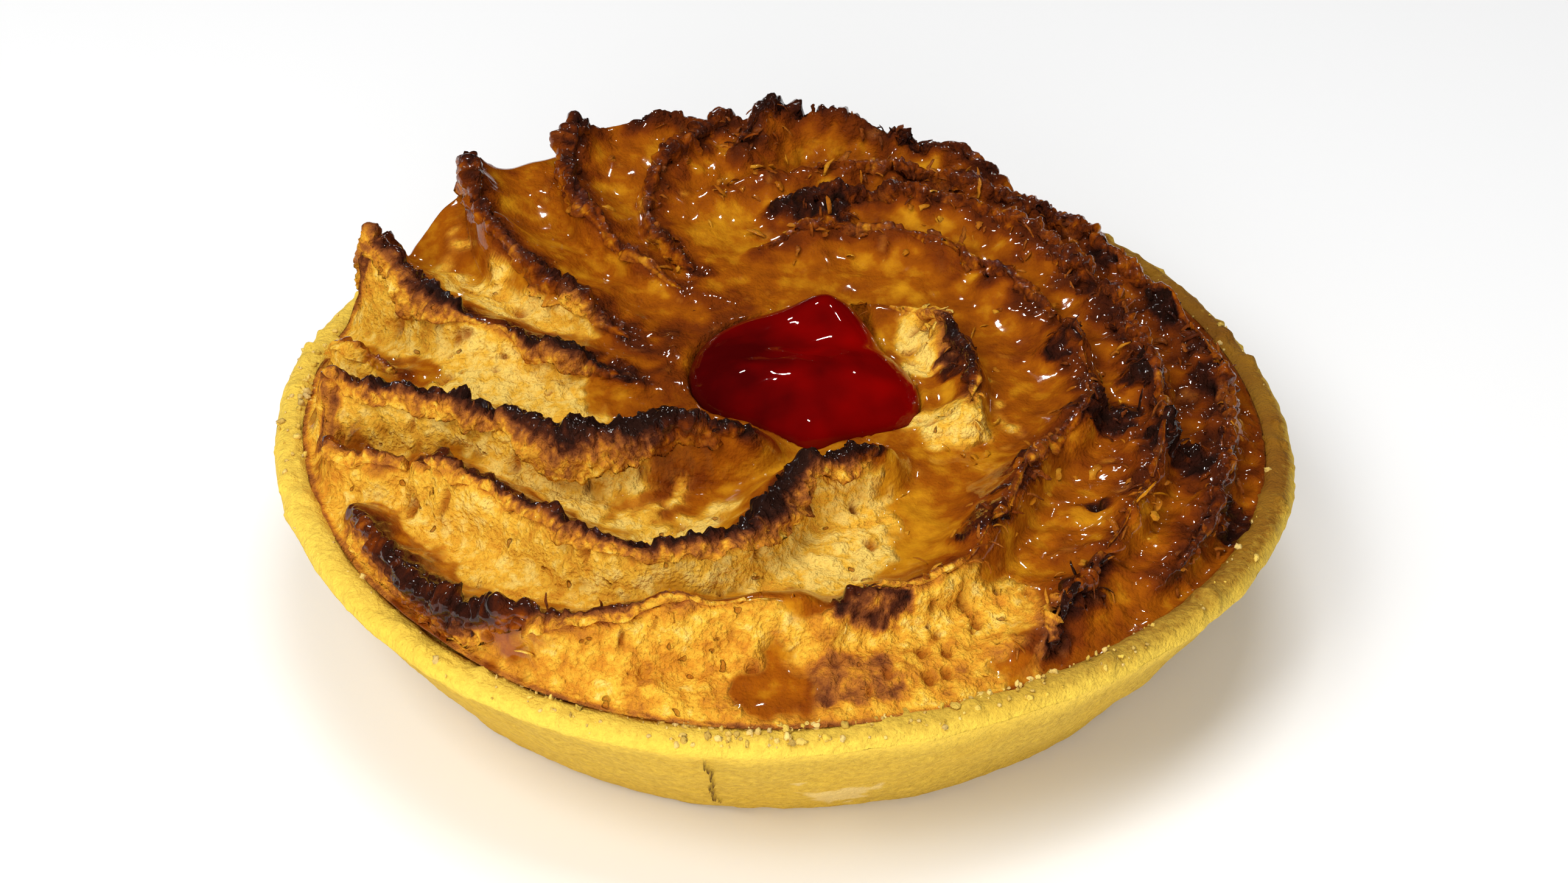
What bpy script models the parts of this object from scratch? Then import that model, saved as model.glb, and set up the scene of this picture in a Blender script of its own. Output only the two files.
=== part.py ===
"""A round shortcrust tartlet with a piped coconut filling and half a glace cherry.

Metres, +Z up. The origin is the centre of the case's flat underside.
Azimuth 0 is +X and 90 is +Y, seen from above.
Three solids: the pastry case, the filling baked in it, and the cherry set in the filling's middle.
"""

import math

import bmesh
import bpy
import numpy as np
from mathutils import Vector, noise

MM = 0.001

# Pastry case
CASE_HEIGHT = 14.0
RIM_RADIUS = 40.0
RIM_WIDTH = 2.7
BASE_RADIUS = 31.0
FOOT_ROUND = 0.5
FLOOR_THICKNESS = 3.0
BASE_FILLET = 2.2
WALL_BULGE = 0.5
RIM_ROUND = 1.15
CASE_STEPS = 72

# The baked rim isn't a true circle: lobes as (count, share of the radius, azimuth in degrees)
RIM_LOBES = ((2, 0.0100, 51.0), (4, 0.0110, -20.0))
RIM_DIP = 0.25

# Filling
GAP = 0.3
FILLING_STEPS = 300
TOP_RINGS = 60
FILLING_TRIANGLES = 6600
EDGE_SINK = 0.7
VALLEY_HEIGHT = 2.3
VALLEY_TILT = 1.3
VALLEY_TILT_AZIMUTH = 128.0
SHOULDER_RADIUS = 24.0
# The edge lies higher at the front, and the valleys climb to a mound at the back left
FRONT_LIFT = 0.6
FRONT_AZIMUTH = -88.0
FRONT_WIDTH = 40.0
FRONT_POWER = 2.6
MOUND_HEIGHT = 6.8
MOUND_RADII = (20.0, 34.0)
MOUND_START = (80.0, 96.0)
MOUND_STOP = (140.0, 164.0)
# The ridges run out over the edge at the left and back, and fade before it at the right
EDGE_FADE = (2.0, 3.4)
EDGE_HOLD = 0.25
RIGHT_START = (-105.0, -85.0)
RIGHT_STOP = (46.0, 62.0)
CRAG_HEIGHT = 0.35
CRAG_SIZE = 2.6

# Each piped ridge is a crest line from its inner to its outer end, swept clockwise as it goes out.
# Its points are (azimuth in degrees, radius, height above the rim), and its widths are those of
# the steep outer face and of the gentle inner slope.
RIDGES = {
    "left_long": (((186, 12.5, 4.6), (173, 20.0, 5.4), (168, 27.0, 6.2), (158, 37.0, 8.6)), 2.0, 4.6),
    "left_back": (((160, 12.5, 4.2), (152, 20.5, 6.4), (146, 29.0, 8.0), (136, 37.6, 10.0)), 2.0, 5.2),
    "back_left": (((124, 14.5, 4.2), (130, 21.5, 6.2), (127, 30.0, 7.8), (118, 36.6, 9.2),
                   (111, 37.0, 9.6), (105, 36.8, 8.8)), 2.0, 5.0),
    "back": (((116, 16.5, 4.4), (119, 22.5, 5.6), (112, 28.5, 6.8), (103, 33.0, 7.4), (97, 36.0, 7.4)),
             2.0, 4.6),
    "back_outer": (((98, 31.0, 6.6), (91, 36.0, 8.6), (83, 36.8, 8.6), (73, 36.4, 6.2), (60, 34.8, 4.4)),
                   1.8, 4.0),
    "back_right": (((104, 26.0, 5.6), (84, 28.4, 6.0), (62, 31.4, 5.0), (38, 32.8, 3.4), (8, 34.2, 2.6),
                    (-22, 34.4, 2.4), (-36, 35.4, 2.0)), 1.9, 3.6),
    "right_outer": (((92, 23.4, 5.0), (70, 25.4, 6.0), (50, 27.6, 5.4), (24, 28.0, 4.6), (-8, 28.6, 4.3),
                     (-34, 30.2, 3.6), (-60, 35.4, 2.0)), 1.9, 3.4),
    "right_inner": (((98, 17.6, 4.2), (76, 20.2, 5.2), (48, 21.4, 5.0), (20, 22.4, 4.8), (-8, 23.2, 4.6),
                     (-30, 21.6, 4.8), (-50, 24.4, 4.8), (-64, 28.0, 4.6), (-84, 30.0, 4.4)), 1.9, 3.2),
    "well_edge": (((58, 11.2, 4.0), (30, 13.0, 5.0), (2, 13.8, 5.2), (-24, 14.6, 4.4)), 1.9, 1.8),
    "front_outer": (((-88, 29.4, 5.0), (-104, 30.8, 5.2), (-116, 34.2, 4.6), (-130, 36.3, 3.6),
                     (-150, 36.2, 3.2)), 2.2, 3.4),
    "front_inner": (((-62, 14.6, 6.1), (-86, 16.4, 6.8), (-98, 23.8, 6.4), (-114, 27.2, 6.2),
                     (-136, 27.4, 6.0), (-150, 30.0, 5.8)), 2.1, 3.6),
    "left_front": (((-104, 11.8, 6.9), (-124, 14.2, 7.9), (-140, 20.4, 7.1), (-160, 25.8, 6.8),
                    (-172, 35.2, 6.2)), 2.0, 3.6),
    "left_low": (((-152, 29.4, 3.8), (-157, 33.0, 4.4), (-163, 35.8, 4.2)), 1.8, 2.4),
    "left_knob": (((180, 30.0, 3.6), (176, 33.6, 4.0), (173, 36.0, 3.4)), 1.8, 2.0),
    "right_low": (((-57.6, 35.4, 1.4), (-50.3, 33.7, 2.9), (-42.5, 32.6, 2.2)), 1.6, 2.0),
}
# Short lumps and one hole: (x, y, half length, half width, azimuth of the length in degrees, rise)
KNOBS = (
    (2.4, 23.0, 2.9, 1.5, -12, 0.5), (21.6, 4.0, 1.9, 1.3, 80, 0.9), (27.0, 0.8, 2.4, 1.3, 70, 0.9),
    (30.7, 12.4, 2.2, 1.4, -50, 0.9), (26.6, 19.0, 2.6, 1.0, -45, 0.7), (24.0, -4.6, 2.9, 1.8, 20, 1.2),
    (29.2, -8.0, 2.7, 1.6, -12, 1.1), (23.0, -14.7, 0.8, 0.8, 0, -0.9), (6.2, -29.0, 2.6, 1.3, 10, 0.6),
    (33.9, -13.2, 2.4, 1.2, 80, 0.7), (14.2, -20.2, 2.6, 1.3, 62, 0.8), (17.6, -13.6, 2.6, 1.2, 70, 0.8),
    (33.0, 3.0, 2.0, 1.2, -70, 0.7), (22.0, 24.5, 2.4, 1.3, -40, 0.6), (12.4, 25.4, 2.6, 1.1, -20, 0.5),
    (-34.8, -6.5, 1.2, 0.9, 40, 0.5), (-24.6, -15.2, 0.7, 1.8, 20, 1.0), (12.7, -6.0, 1.7, 1.3, 30, 0.9),
    (-33.2, 11.8, 1.1, 0.9, 20, 1.0), (-31.6, 14.2, 1.0, 0.8, 60, 1.2),
)
CREST_SAMPLES = 25
RIDGE_MERGE = 0.3
# How fast a ridge falls away from its crest, as the power of a bell curve
GENTLE_POWER = 1.7
STEEP_POWER = 2.4
# Lumps along each crest
LUMP_HEIGHT = 0.45
LUMP_LENGTH = 7.0
LUMP_BEAT = 26.0

# Half cherry, lying cut side down in its well
CHERRY_CENTRE = (1.2, 0.9)
CHERRY_RADIUS = 8.8
CHERRY_FOOT = 2.4
CHERRY_RISE = 3.4
CHERRY_DEPTH = 2.2
CHERRY_SEGMENTS = 28
# Lobes of its outline: (azimuth in degrees, half width in degrees, height)
CHERRY_LOBES = ((76, 17, 1.9), (25, 22, -1.3), (-31, 24, 1.5), (-85, 16, 0.6), (-122, 20, -1.0))
# Dents and swells of its top: (x, y, half width, height)
CHERRY_SWELLS = ((4.2, 8.6, 3.2, 1.5), (-3.8, 3.6, 4.4, -0.9), (2.4, 3.0, 3.0, -0.8), (4.6, -3.4, 4.0, 0.5))

MATERIALS = {
    "shortcrust": ((0.78, 0.50, 0.14), 0.75),
    "coconut_filling": ((0.62, 0.33, 0.09), 0.6),
    "cherry": ((0.42, 0.01, 0.01), 0.12),
}


def clear_scene():
    for obj in list(bpy.data.objects):
        bpy.data.objects.remove(obj, do_unlink=True)


def make_material(name, colour, roughness):
    material = bpy.data.materials.new(name)
    material.use_nodes = True
    shader = material.node_tree.nodes["Principled BSDF"]
    shader.inputs["Base Color"].default_value = (*colour, 1.0)
    shader.inputs["Roughness"].default_value = roughness
    shader.inputs["Metallic"].default_value = 0.0
    return material


def smoothstep(value):
    value = np.clip(value, 0.0, 1.0)
    return value * value * (3.0 - 2.0 * value)


def rim_scale(azimuth):
    """Share by which the rim stands out of a true circle at an azimuth in radians."""
    scale = np.ones_like(azimuth)
    for count, share, at in RIM_LOBES:
        scale = scale + share * np.cos(count * (azimuth - math.radians(at)))
    return scale


def lobed_case(x, y, z):
    """Pushes points out of round, fully at the rim and hardly at the base, and dips the rim a little."""
    azimuth = np.arctan2(y, x)
    height = np.clip(z / CASE_HEIGHT, 0.0, 1.0)
    scale = 1.0 + (rim_scale(azimuth) - 1.0) * height
    dip = RIM_DIP * np.sin(3.0 * azimuth + 0.6) * smoothstep((height - 0.7) / 0.3)
    return x * scale, y * scale, z - dip * (z > 0.5 * CASE_HEIGHT)


def crest_line(points):
    """A Catmull-Rom curve through a ridge's polar points, as rows of x, y and height."""
    polar = np.array(points, float)
    turn = np.radians(polar[:, 0])
    knots = np.stack([polar[:, 1] * np.cos(turn), polar[:, 1] * np.sin(turn), polar[:, 2]], axis=1)
    knots = np.concatenate([2 * knots[:1] - knots[1:2], knots, 2 * knots[-1:] - knots[-2:-1]])
    place = np.linspace(0.0, len(points) - 1.0, CREST_SAMPLES)
    span = np.minimum(place.astype(int), len(points) - 2)
    t = (place - span)[:, None]
    a, b, c, d = (knots[span + shift] for shift in range(4))
    return 0.5 * (2 * b + (c - a) * t + (2 * a - 5 * b + 4 * c - d) * t**2 + (3 * b - a - 3 * c + d) * t**3)


def nearest_on_crest(x, y, line):
    """The crest's nearest point to each (x, y): its height, the way along to it, and the way across.

    The way across is positive on the left of the crest's travel, which is the ridge's outer side.
    """
    start, step = line[:-1], np.diff(line, axis=0)
    away_x = x[:, None] - start[None, :, 0]
    away_y = y[:, None] - start[None, :, 1]
    length = np.hypot(step[:, 0], step[:, 1])
    t = np.clip((away_x * step[:, 0] + away_y * step[:, 1]) / length**2, 0.0, 1.0)
    away_x = away_x - t * step[:, 0]
    away_y = away_y - t * step[:, 1]
    nearest = np.hypot(away_x, away_y).argmin(axis=1)
    rows = np.arange(len(x))
    away_x, away_y, t = away_x[rows, nearest], away_y[rows, nearest], t[rows, nearest]
    height = start[nearest, 2] + t * step[nearest, 2]
    along = np.concatenate([[0.0], np.cumsum(length)])[nearest] + t * length[nearest]
    across = (step[nearest, 0] * away_y - step[nearest, 1] * away_x) / length[nearest]
    return height, along, across, np.hypot(away_x, away_y)


def ridge_rise(x, y, points, steep, gentle):
    """Crest height at the nearest point of a ridge, and the share of it that is left at (x, y)."""
    height, along, across, distance = nearest_on_crest(x, y, crest_line(points))
    turn = 2 * math.pi * along / LUMP_LENGTH + points[0][0]
    lump = LUMP_HEIGHT * np.sin(turn) * np.sin(2 * math.pi * along / LUMP_BEAT)
    outer = smoothstep(0.5 + 0.5 * across / np.maximum(distance, 1e-6))
    width = gentle + (steep - gentle) * outer
    power = GENTLE_POWER + (STEEP_POWER - GENTLE_POWER) * outer
    return height + lump, np.exp(-((distance / width) ** power))


def valley_height(x, y):
    """Height above the rim of the filling between its ridges. It falls to just under the rim at the edge."""
    radius = np.hypot(x, y)
    azimuth = np.arctan2(y, x)
    tilt = VALLEY_TILT * np.cos(azimuth - math.radians(VALLEY_TILT_AZIMUTH)) * radius / RIM_RADIUS
    shoulder = (radius - SHOULDER_RADIUS) / (RIM_RADIUS - RIM_WIDTH - SHOULDER_RADIUS)
    fall = smoothstep(shoulder)
    from_front = (np.degrees(azimuth) - FRONT_AZIMUTH + 180.0) % 360.0 - 180.0
    sink = EDGE_SINK - FRONT_LIFT * np.exp(-((np.abs(from_front) / FRONT_WIDTH) ** FRONT_POWER))
    return (VALLEY_HEIGHT + tilt) * (1.0 - fall) - sink * fall


def mound_share(x, y):
    """How much of the mound behind the back left valleys stands at (x, y), from 0 to 1."""
    azimuth = np.degrees(np.arctan2(y, x)) % 360.0
    sector = smoothstep((MOUND_STOP[1] - azimuth) / (MOUND_STOP[1] - MOUND_STOP[0]))
    sector = sector * smoothstep((azimuth - MOUND_START[0]) / (MOUND_START[1] - MOUND_START[0]))
    return sector * smoothstep((np.hypot(x, y) - MOUND_RADII[0]) / (MOUND_RADII[1] - MOUND_RADII[0]))


def right_share(x, y):
    """1 at the right, where the filling slopes down to the rim, and 0 at the left and back."""
    azimuth = np.degrees(np.arctan2(y, x))
    start = smoothstep((azimuth - RIGHT_START[0]) / (RIGHT_START[1] - RIGHT_START[0]))
    return start * smoothstep((RIGHT_STOP[1] - azimuth) / (RIGHT_STOP[1] - RIGHT_STOP[0]))


def knob_rise(x, y):
    """Summed height of the short lumps: a bell curve of the distance in half lengths and half widths."""
    total = np.zeros_like(x)
    for at_x, at_y, long, wide, turn, rise in KNOBS:
        cosine, sine = math.cos(math.radians(turn)), math.sin(math.radians(turn))
        along = (x - at_x) * cosine + (y - at_y) * sine
        across = (y - at_y) * cosine - (x - at_x) * sine
        total = total + rise * np.exp(-((along / long) ** 2 + (across / wide) ** 2))
    return total


def cherry_outline(azimuth):
    """Radius of the cherry's outline round its own centre."""
    radius = np.full_like(azimuth, CHERRY_RADIUS)
    for at, width, height in CHERRY_LOBES:
        turn = (azimuth - math.radians(at) + math.pi) % (2 * math.pi) - math.pi
        radius = radius + height * np.exp(-((turn / math.radians(width)) ** 2))
    return radius


def cherry_share(x, y):
    """0 at the cherry's centre and 1 on its outline."""
    across, along = x - CHERRY_CENTRE[0], y - CHERRY_CENTRE[1]
    return np.hypot(across, along) / cherry_outline(np.arctan2(along, across))


def cherry_underside(share):
    """Height above the rim of the cherry's rounded cut face."""
    return CHERRY_FOOT - CHERRY_DEPTH + CHERRY_DEPTH * np.clip(share, 0.0, 1.0) ** 4


def cherry_top(x, y):
    share = np.clip(cherry_share(x, y), 0.0, 1.0)
    height = CHERRY_FOOT + CHERRY_RISE * np.sqrt(np.clip(1.0 - share**2.6, 0.0, 1.0))
    for at_x, at_y, width, swell in CHERRY_SWELLS:
        near = np.exp(-(((x - at_x) ** 2 + (y - at_y) ** 2) / width**2))
        height = height + swell * near * (1.0 - share**4)
    return height


def crags(x, y, z):
    """Rough baked relief: fractal noise, read at every point."""
    return np.array([noise.fractal(Vector(p) / CRAG_SIZE, 0.9, 2.1, 3) for p in zip(x, y, z)])


def filling_height(x, y):
    """Height above the rim of the filling's top: valleys, ridges joined by a soft maximum, and the cherry's well."""
    valley = valley_height(x, y)
    mound = valley + (MOUND_HEIGHT - valley) * mound_share(x, y)
    total = np.exp(valley / RIDGE_MERGE) + np.exp(mound / RIDGE_MERGE)
    for points, steep, gentle in RIDGES.values():
        crest, share = ridge_rise(x, y, points, steep, gentle)
        total = total + np.exp((valley + (crest - valley) * share) / RIDGE_MERGE)
    radius = np.hypot(x, y)
    right = right_share(x, y)
    fade = EDGE_FADE[0] + (EDGE_FADE[1] - EDGE_FADE[0]) * right
    edge = smoothstep((RIM_RADIUS - RIM_WIDTH - radius) / fade)
    hold = EDGE_HOLD * (1.0 - right)
    height = RIDGE_MERGE * np.log(total)
    height = height + CRAG_HEIGHT * crags(x, y, height) * edge
    height = valley + (height - valley) * (hold + (1.0 - hold) * edge)
    height = height + edge * knob_rise(x, y)
    share = cherry_share(x, y)
    well = smoothstep((share - 1.03) / 0.09)
    return height * well + (cherry_underside(share) - GAP) * (1.0 - well)


def turned(name, profile, steps, material):
    """A closed profile of (radius, height) in mm, turned round Z by a Screw modifier and made a mesh."""
    mesh = bpy.data.meshes.new(name + "_profile")
    points = [(r * MM, 0.0, z * MM) for r, z in profile]
    mesh.from_pydata(points, [(i, i + 1) for i in range(len(points) - 1)], [])
    guide = bpy.data.objects.new(name + "_guide", mesh)
    bpy.context.scene.collection.objects.link(guide)
    screw = guide.modifiers.new("Turn", "SCREW")
    screw.axis = "Z"
    screw.steps = steps
    screw.render_steps = steps
    screw.use_merge_vertices = True
    screw.merge_threshold = 0.00001
    graph = bpy.context.evaluated_depsgraph_get()
    made = bpy.data.meshes.new_from_object(guide.evaluated_get(graph))
    made.name = name
    bpy.data.objects.remove(guide, do_unlink=True)
    return node_of(name, made, material)


def node_of(name, mesh, material):
    obj = bpy.data.objects.new(name, mesh)
    obj.data.materials.clear()
    obj.data.materials.append(material)
    bpy.data.collections["tartlet"].objects.link(obj)
    return obj


def reshape(obj, move):
    """Moves every vertex by a function of its x, y and z in mm."""
    flat = np.empty(len(obj.data.vertices) * 3, np.float32)
    obj.data.vertices.foreach_get("co", flat)
    x, y, z = flat.reshape(-1, 3).astype(float).T / MM
    moved = np.stack(move(x, y, z), axis=1) * MM
    obj.data.vertices.foreach_set("co", moved.astype(np.float32).ravel())
    obj.data.update()


def arc(centre, radius, start, end, count):
    """Points on an arc, from start to end in degrees."""
    turns = np.radians(np.linspace(start, end, count))
    return [(centre[0] + radius * math.cos(t), centre[1] + radius * math.sin(t)) for t in turns]


def wall_radius(height):
    """Outer radius of the flared wall at a height. It bulges a little between base and rim."""
    share = height / CASE_HEIGHT
    straight = BASE_RADIUS + (RIM_RADIUS - BASE_RADIUS) * share
    return straight + WALL_BULGE * math.sin(math.pi * min(share, 1.0))


def inner_radius(height):
    return wall_radius(height) - RIM_WIDTH


def make_case(material):
    """The pastry case: a shallow flared cup with a flat base and a rounded rim."""
    floor_corner = inner_radius(FLOOR_THICKNESS + BASE_FILLET)
    inside = [(0.0, FLOOR_THICKNESS)]
    inside += [(r, FLOOR_THICKNESS) for r in (12.0, floor_corner - BASE_FILLET)]
    inside += [(floor_corner - 0.3 * BASE_FILLET, FLOOR_THICKNESS + 0.35 * BASE_FILLET)]
    inside += [(inner_radius(z), z) for z in (5.6, 9.4, CASE_HEIGHT - RIM_ROUND)]
    rim_left = RIM_RADIUS - RIM_WIDTH + RIM_ROUND
    rim_right = RIM_RADIUS - RIM_ROUND
    top = arc((rim_left, CASE_HEIGHT - RIM_ROUND), RIM_ROUND, 150, 90, 3)
    top += arc((rim_right, CASE_HEIGHT - RIM_ROUND), RIM_ROUND, 90, 0, 3)
    outside = [(wall_radius(z), z) for z in (10.6, 7.6, 4.8, 2.2)]
    foot = [(wall_radius(FOOT_ROUND), FOOT_ROUND), (BASE_RADIUS - 0.3 * FOOT_ROUND, 0.3 * FOOT_ROUND)]
    foot += [(BASE_RADIUS - FOOT_ROUND, 0.0), (0.0, 0.0)]
    case = turned("pastry_case", inside + top + outside + foot, CASE_STEPS, material)
    reshape(case, lobed_case)
    return case


def make_filling(material):
    """The coconut filling: it fills the case and stands up in swept ridges."""
    edge_radius = inner_radius(CASE_HEIGHT - EDGE_SINK) - GAP
    rings = edge_radius * (np.arange(1, TOP_RINGS) / TOP_RINGS) ** 0.85
    top = [(0.0, CASE_HEIGHT)] + [(float(r), CASE_HEIGHT) for r in rings]
    side = [(inner_radius(z) - GAP, z) for z in (CASE_HEIGHT - EDGE_SINK, 11.0, 8.0, 5.6 + GAP)]
    foot_radius = inner_radius(FLOOR_THICKNESS + BASE_FILLET) - BASE_FILLET - 1.5 * GAP
    bottom = [(foot_radius, FLOOR_THICKNESS + GAP), (0.0, FLOOR_THICKNESS + GAP)]
    filling = turned("coconut_filling", top + side + bottom, FILLING_STEPS, material)

    def move(x, y, z):
        on_top = z > CASE_HEIGHT - 0.1
        raised = np.where(on_top, CASE_HEIGHT + filling_height(x, y), z)
        scale = 1.0 + (rim_scale(np.arctan2(y, x)) - 1.0) * np.clip(z / CASE_HEIGHT, 0.0, 1.0)
        return x * scale, y * scale, raised

    reshape(filling, move)
    thin = filling.modifiers.new("Fewer faces", "DECIMATE")
    thin.ratio = FILLING_TRIANGLES / sum(len(face.vertices) - 2 for face in filling.data.polygons)
    thin.use_collapse_triangulate = True
    return filling


def make_cherry(material):
    """Half a glace cherry: a sphere pressed to the cherry's outline, top and cut face."""
    mesh = bpy.data.meshes.new("cherry")
    shape = bmesh.new()
    bmesh.ops.create_uvsphere(shape, u_segments=CHERRY_SEGMENTS, v_segments=CHERRY_SEGMENTS // 2, radius=1.0)
    shape.to_mesh(mesh)
    shape.free()
    cherry = node_of("cherry", mesh, material)

    def move(x, y, z):
        unit_x, unit_y, unit_z = x * MM, y * MM, z * MM
        azimuth = np.arctan2(unit_y, unit_x)
        share = np.hypot(unit_x, unit_y)
        radius = cherry_outline(azimuth) * share
        at_x = CHERRY_CENTRE[0] + radius * np.cos(azimuth)
        at_y = CHERRY_CENTRE[1] + radius * np.sin(azimuth)
        height = np.where(unit_z > 1e-4, cherry_top(at_x, at_y), cherry_underside(share))
        return at_x, at_y, CASE_HEIGHT + height

    reshape(cherry, move)
    return cherry


def main():
    clear_scene()
    parts = bpy.data.collections.new("tartlet")
    bpy.context.scene.collection.children.link(parts)
    materials = {name: make_material(name, *look) for name, look in MATERIALS.items()}
    made = [
        make_case(materials["shortcrust"]),
        make_filling(materials["coconut_filling"]),
        make_cherry(materials["cherry"]),
    ]
    for obj in made:
        obj.data.shade_smooth()
        obj.data.set_sharp_from_angle(angle=math.radians(50))


main()
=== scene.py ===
"""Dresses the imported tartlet: shortcrust case, piped coconut filling, toasted crests, flakes and cherry.

Shapes are worked out in millimetres and become metres when a mesh is made. Azimuth 0 is +X and 90 is +Y,
seen from above. Heights of the filling and the cherry are counted from the top of the rim.
"""

from __future__ import annotations

import logging
import math
from dataclasses import astuple, dataclass
from enum import Enum

import bmesh
import bpy
import numpy as np
from mathutils import Matrix, Vector

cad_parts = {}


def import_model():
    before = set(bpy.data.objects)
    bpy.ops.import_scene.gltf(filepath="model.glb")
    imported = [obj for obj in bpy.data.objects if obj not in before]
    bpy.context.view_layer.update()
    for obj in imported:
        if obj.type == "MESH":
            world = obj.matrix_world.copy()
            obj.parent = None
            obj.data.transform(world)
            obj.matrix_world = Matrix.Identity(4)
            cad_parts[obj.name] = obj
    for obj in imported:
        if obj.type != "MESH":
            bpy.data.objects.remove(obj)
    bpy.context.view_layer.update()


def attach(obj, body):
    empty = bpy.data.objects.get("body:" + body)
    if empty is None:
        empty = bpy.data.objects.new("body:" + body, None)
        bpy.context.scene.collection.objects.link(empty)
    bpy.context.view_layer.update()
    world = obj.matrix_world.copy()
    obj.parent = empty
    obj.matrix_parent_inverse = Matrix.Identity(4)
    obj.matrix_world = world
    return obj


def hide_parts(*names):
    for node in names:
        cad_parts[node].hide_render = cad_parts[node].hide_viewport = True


LOG = logging.getLogger("tartlet")
MM = 0.001

CASE_HEIGHT = 14.0
RIM_RADIUS = 40.0
RIM_WIDTH = 2.7
BASE_RADIUS = 31.0
FLOOR_THICKNESS = 3.0
FOOT_ROUND = 0.5
RIM_ROUND = 1.15
WALL_BULGE = 0.5
RIM_LOBES = ((2, 0.0100, 51.0), (4, 0.0110, -20.0))
RIM_DIP = 0.25
GAP = 0.3
LATTICE_START = 4096
NOISE_REACH = 1.7


class Slot(Enum):
    """The record's material slots."""

    SHORTCRUST = "shortcrust"
    FILLING = "coconut_filling"
    CHERRY = "cherry"


def smoothstep(value: np.ndarray) -> np.ndarray:
    """Eases from 0 to 1 by 3t^2 - 2t^3."""
    value = np.clip(value, 0.0, 1.0)
    return value * value * (3.0 - 2.0 * value)


def rim_scale(azimuth: np.ndarray) -> np.ndarray:
    """Works out how far the rim stands out of a true circle.

    Args:
        azimuth: Azimuths in radians.

    Returns:
        1 plus a cosine for each lobe.
    """
    scale = np.ones_like(azimuth)
    for count, share, at in RIM_LOBES:
        scale = scale + share * np.cos(count * (azimuth - math.radians(at)))
    return scale


def wall_radius(height: np.ndarray) -> np.ndarray:
    """Outer radius of the flared wall: a straight cone from base to rim plus half a sine wave."""
    share = height / CASE_HEIGHT
    bulge = WALL_BULGE * np.sin(math.pi * np.minimum(share, 1.0))
    return BASE_RADIUS + (RIM_RADIUS - BASE_RADIUS) * share + bulge


def rim_dip(azimuth: np.ndarray) -> np.ndarray:
    """How far the rim dips: three waves round it."""
    return RIM_DIP * np.sin(3.0 * azimuth + 0.6)


def out_of_round(x: np.ndarray, y: np.ndarray, z: np.ndarray) -> tuple[np.ndarray, np.ndarray]:
    """Scales plan points by the rim's lobes, fully at the rim's height and not at all at the base."""
    scale = 1.0 + (rim_scale(np.arctan2(y, x)) - 1.0) * np.clip(z / CASE_HEIGHT, 0.0, 1.0)
    return x * scale, y * scale


def lattice_hash(corner: np.ndarray, seed: int) -> np.ndarray:
    """Hashes whole-number lattice corners.

    Args:
        corner: Rows of three whole numbers.
        seed: Picks one of many unlike hashes.

    Returns:
        A number from 0 to 1 for each row, by integer products and shifts.
    """
    step = corner.astype(np.uint64)
    mixed = step[..., 0] * np.uint64(374761393) + step[..., 1] * np.uint64(668265263)
    mixed = mixed + step[..., 2] * np.uint64(2246822519) + np.uint64(seed * 3266489917 + 97)
    mixed = (mixed ^ (mixed >> np.uint64(13))) * np.uint64(1274126177)
    mixed = (mixed ^ (mixed >> np.uint64(16))) & np.uint64(0xFFFFFF)
    return mixed.astype(float) / float(0xFFFFFF)


def gradient_noise(points: np.ndarray, seed: int) -> np.ndarray:
    """Smooth noise: random slopes at the corners of a unit lattice, blended by a fifth-order fade.

    Args:
        points: Rows of x, y and z in lattice units.
        seed: Picks the slopes.

    Returns:
        Values of about -1 to 1.
    """
    base = np.floor(points).astype(np.int64)
    inside = points - base
    fade = inside**3 * (inside * (inside * 6.0 - 15.0) + 10.0)
    total = np.zeros(len(points))
    for corner in np.ndindex(2, 2, 2):
        shift = np.array(corner)
        lattice = base + shift + LATTICE_START
        slope = np.stack([lattice_hash(lattice, seed * 3 + axis) * 2.0 - 1.0 for axis in range(3)], axis=1)
        weight = np.prod(np.where(shift == 1, fade, 1.0 - fade), axis=1)
        total += weight * np.einsum("ij,ij->i", slope, inside - shift)
    return total * NOISE_REACH


def fractal(points: np.ndarray, size: float, octaves: int, seed: int, gain: float = 0.5) -> np.ndarray:
    """Sums gradient noise at halving sizes.

    Args:
        points: Rows of x, y and z in mm.
        size: Size of the coarsest lumps in mm.
        octaves: How many sizes are summed.
        seed: Picks the pattern.
        gain: Height of each size against the one before.

    Returns:
        Values of about -1 to 1.
    """
    total = np.zeros(len(points))
    height = 1.0
    for octave in range(octaves):
        total += height * gradient_noise(points / size * 2.0**octave, seed + 17 * octave)
        height *= gain
    return total


def billow(points: np.ndarray, size: float, octaves: int, seed: int) -> np.ndarray:
    """Craggy noise of about -1 to 1: sharp creases between rounded lumps, from the noise's absolute value."""
    total = np.zeros(len(points))
    height = 1.0
    for octave in range(octaves):
        lumps = np.abs(gradient_noise(points / size * 2.0**octave, seed + 29 * octave))
        total += height * (2.2 * lumps - 0.7)
        height *= 0.55
    return total


@dataclass(frozen=True)
class Relief:
    """One layer of roughness.

    Attributes:
        height: Its height in mm.
        size: Size of its coarsest lumps in mm.
        octaves: How many sizes are summed.
        seed: Picks its pattern.
        craggy: Whether its lumps meet in sharp creases.
    """

    height: float
    size: float
    octaves: int
    seed: int
    craggy: bool = False

    def at(self, points: np.ndarray, shift: int = 0) -> np.ndarray:
        """The layer at points, with a shift of its seed."""
        noise = billow if self.craggy else fractal
        return self.height * noise(points, self.size, self.octaves, self.seed + shift)


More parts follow.
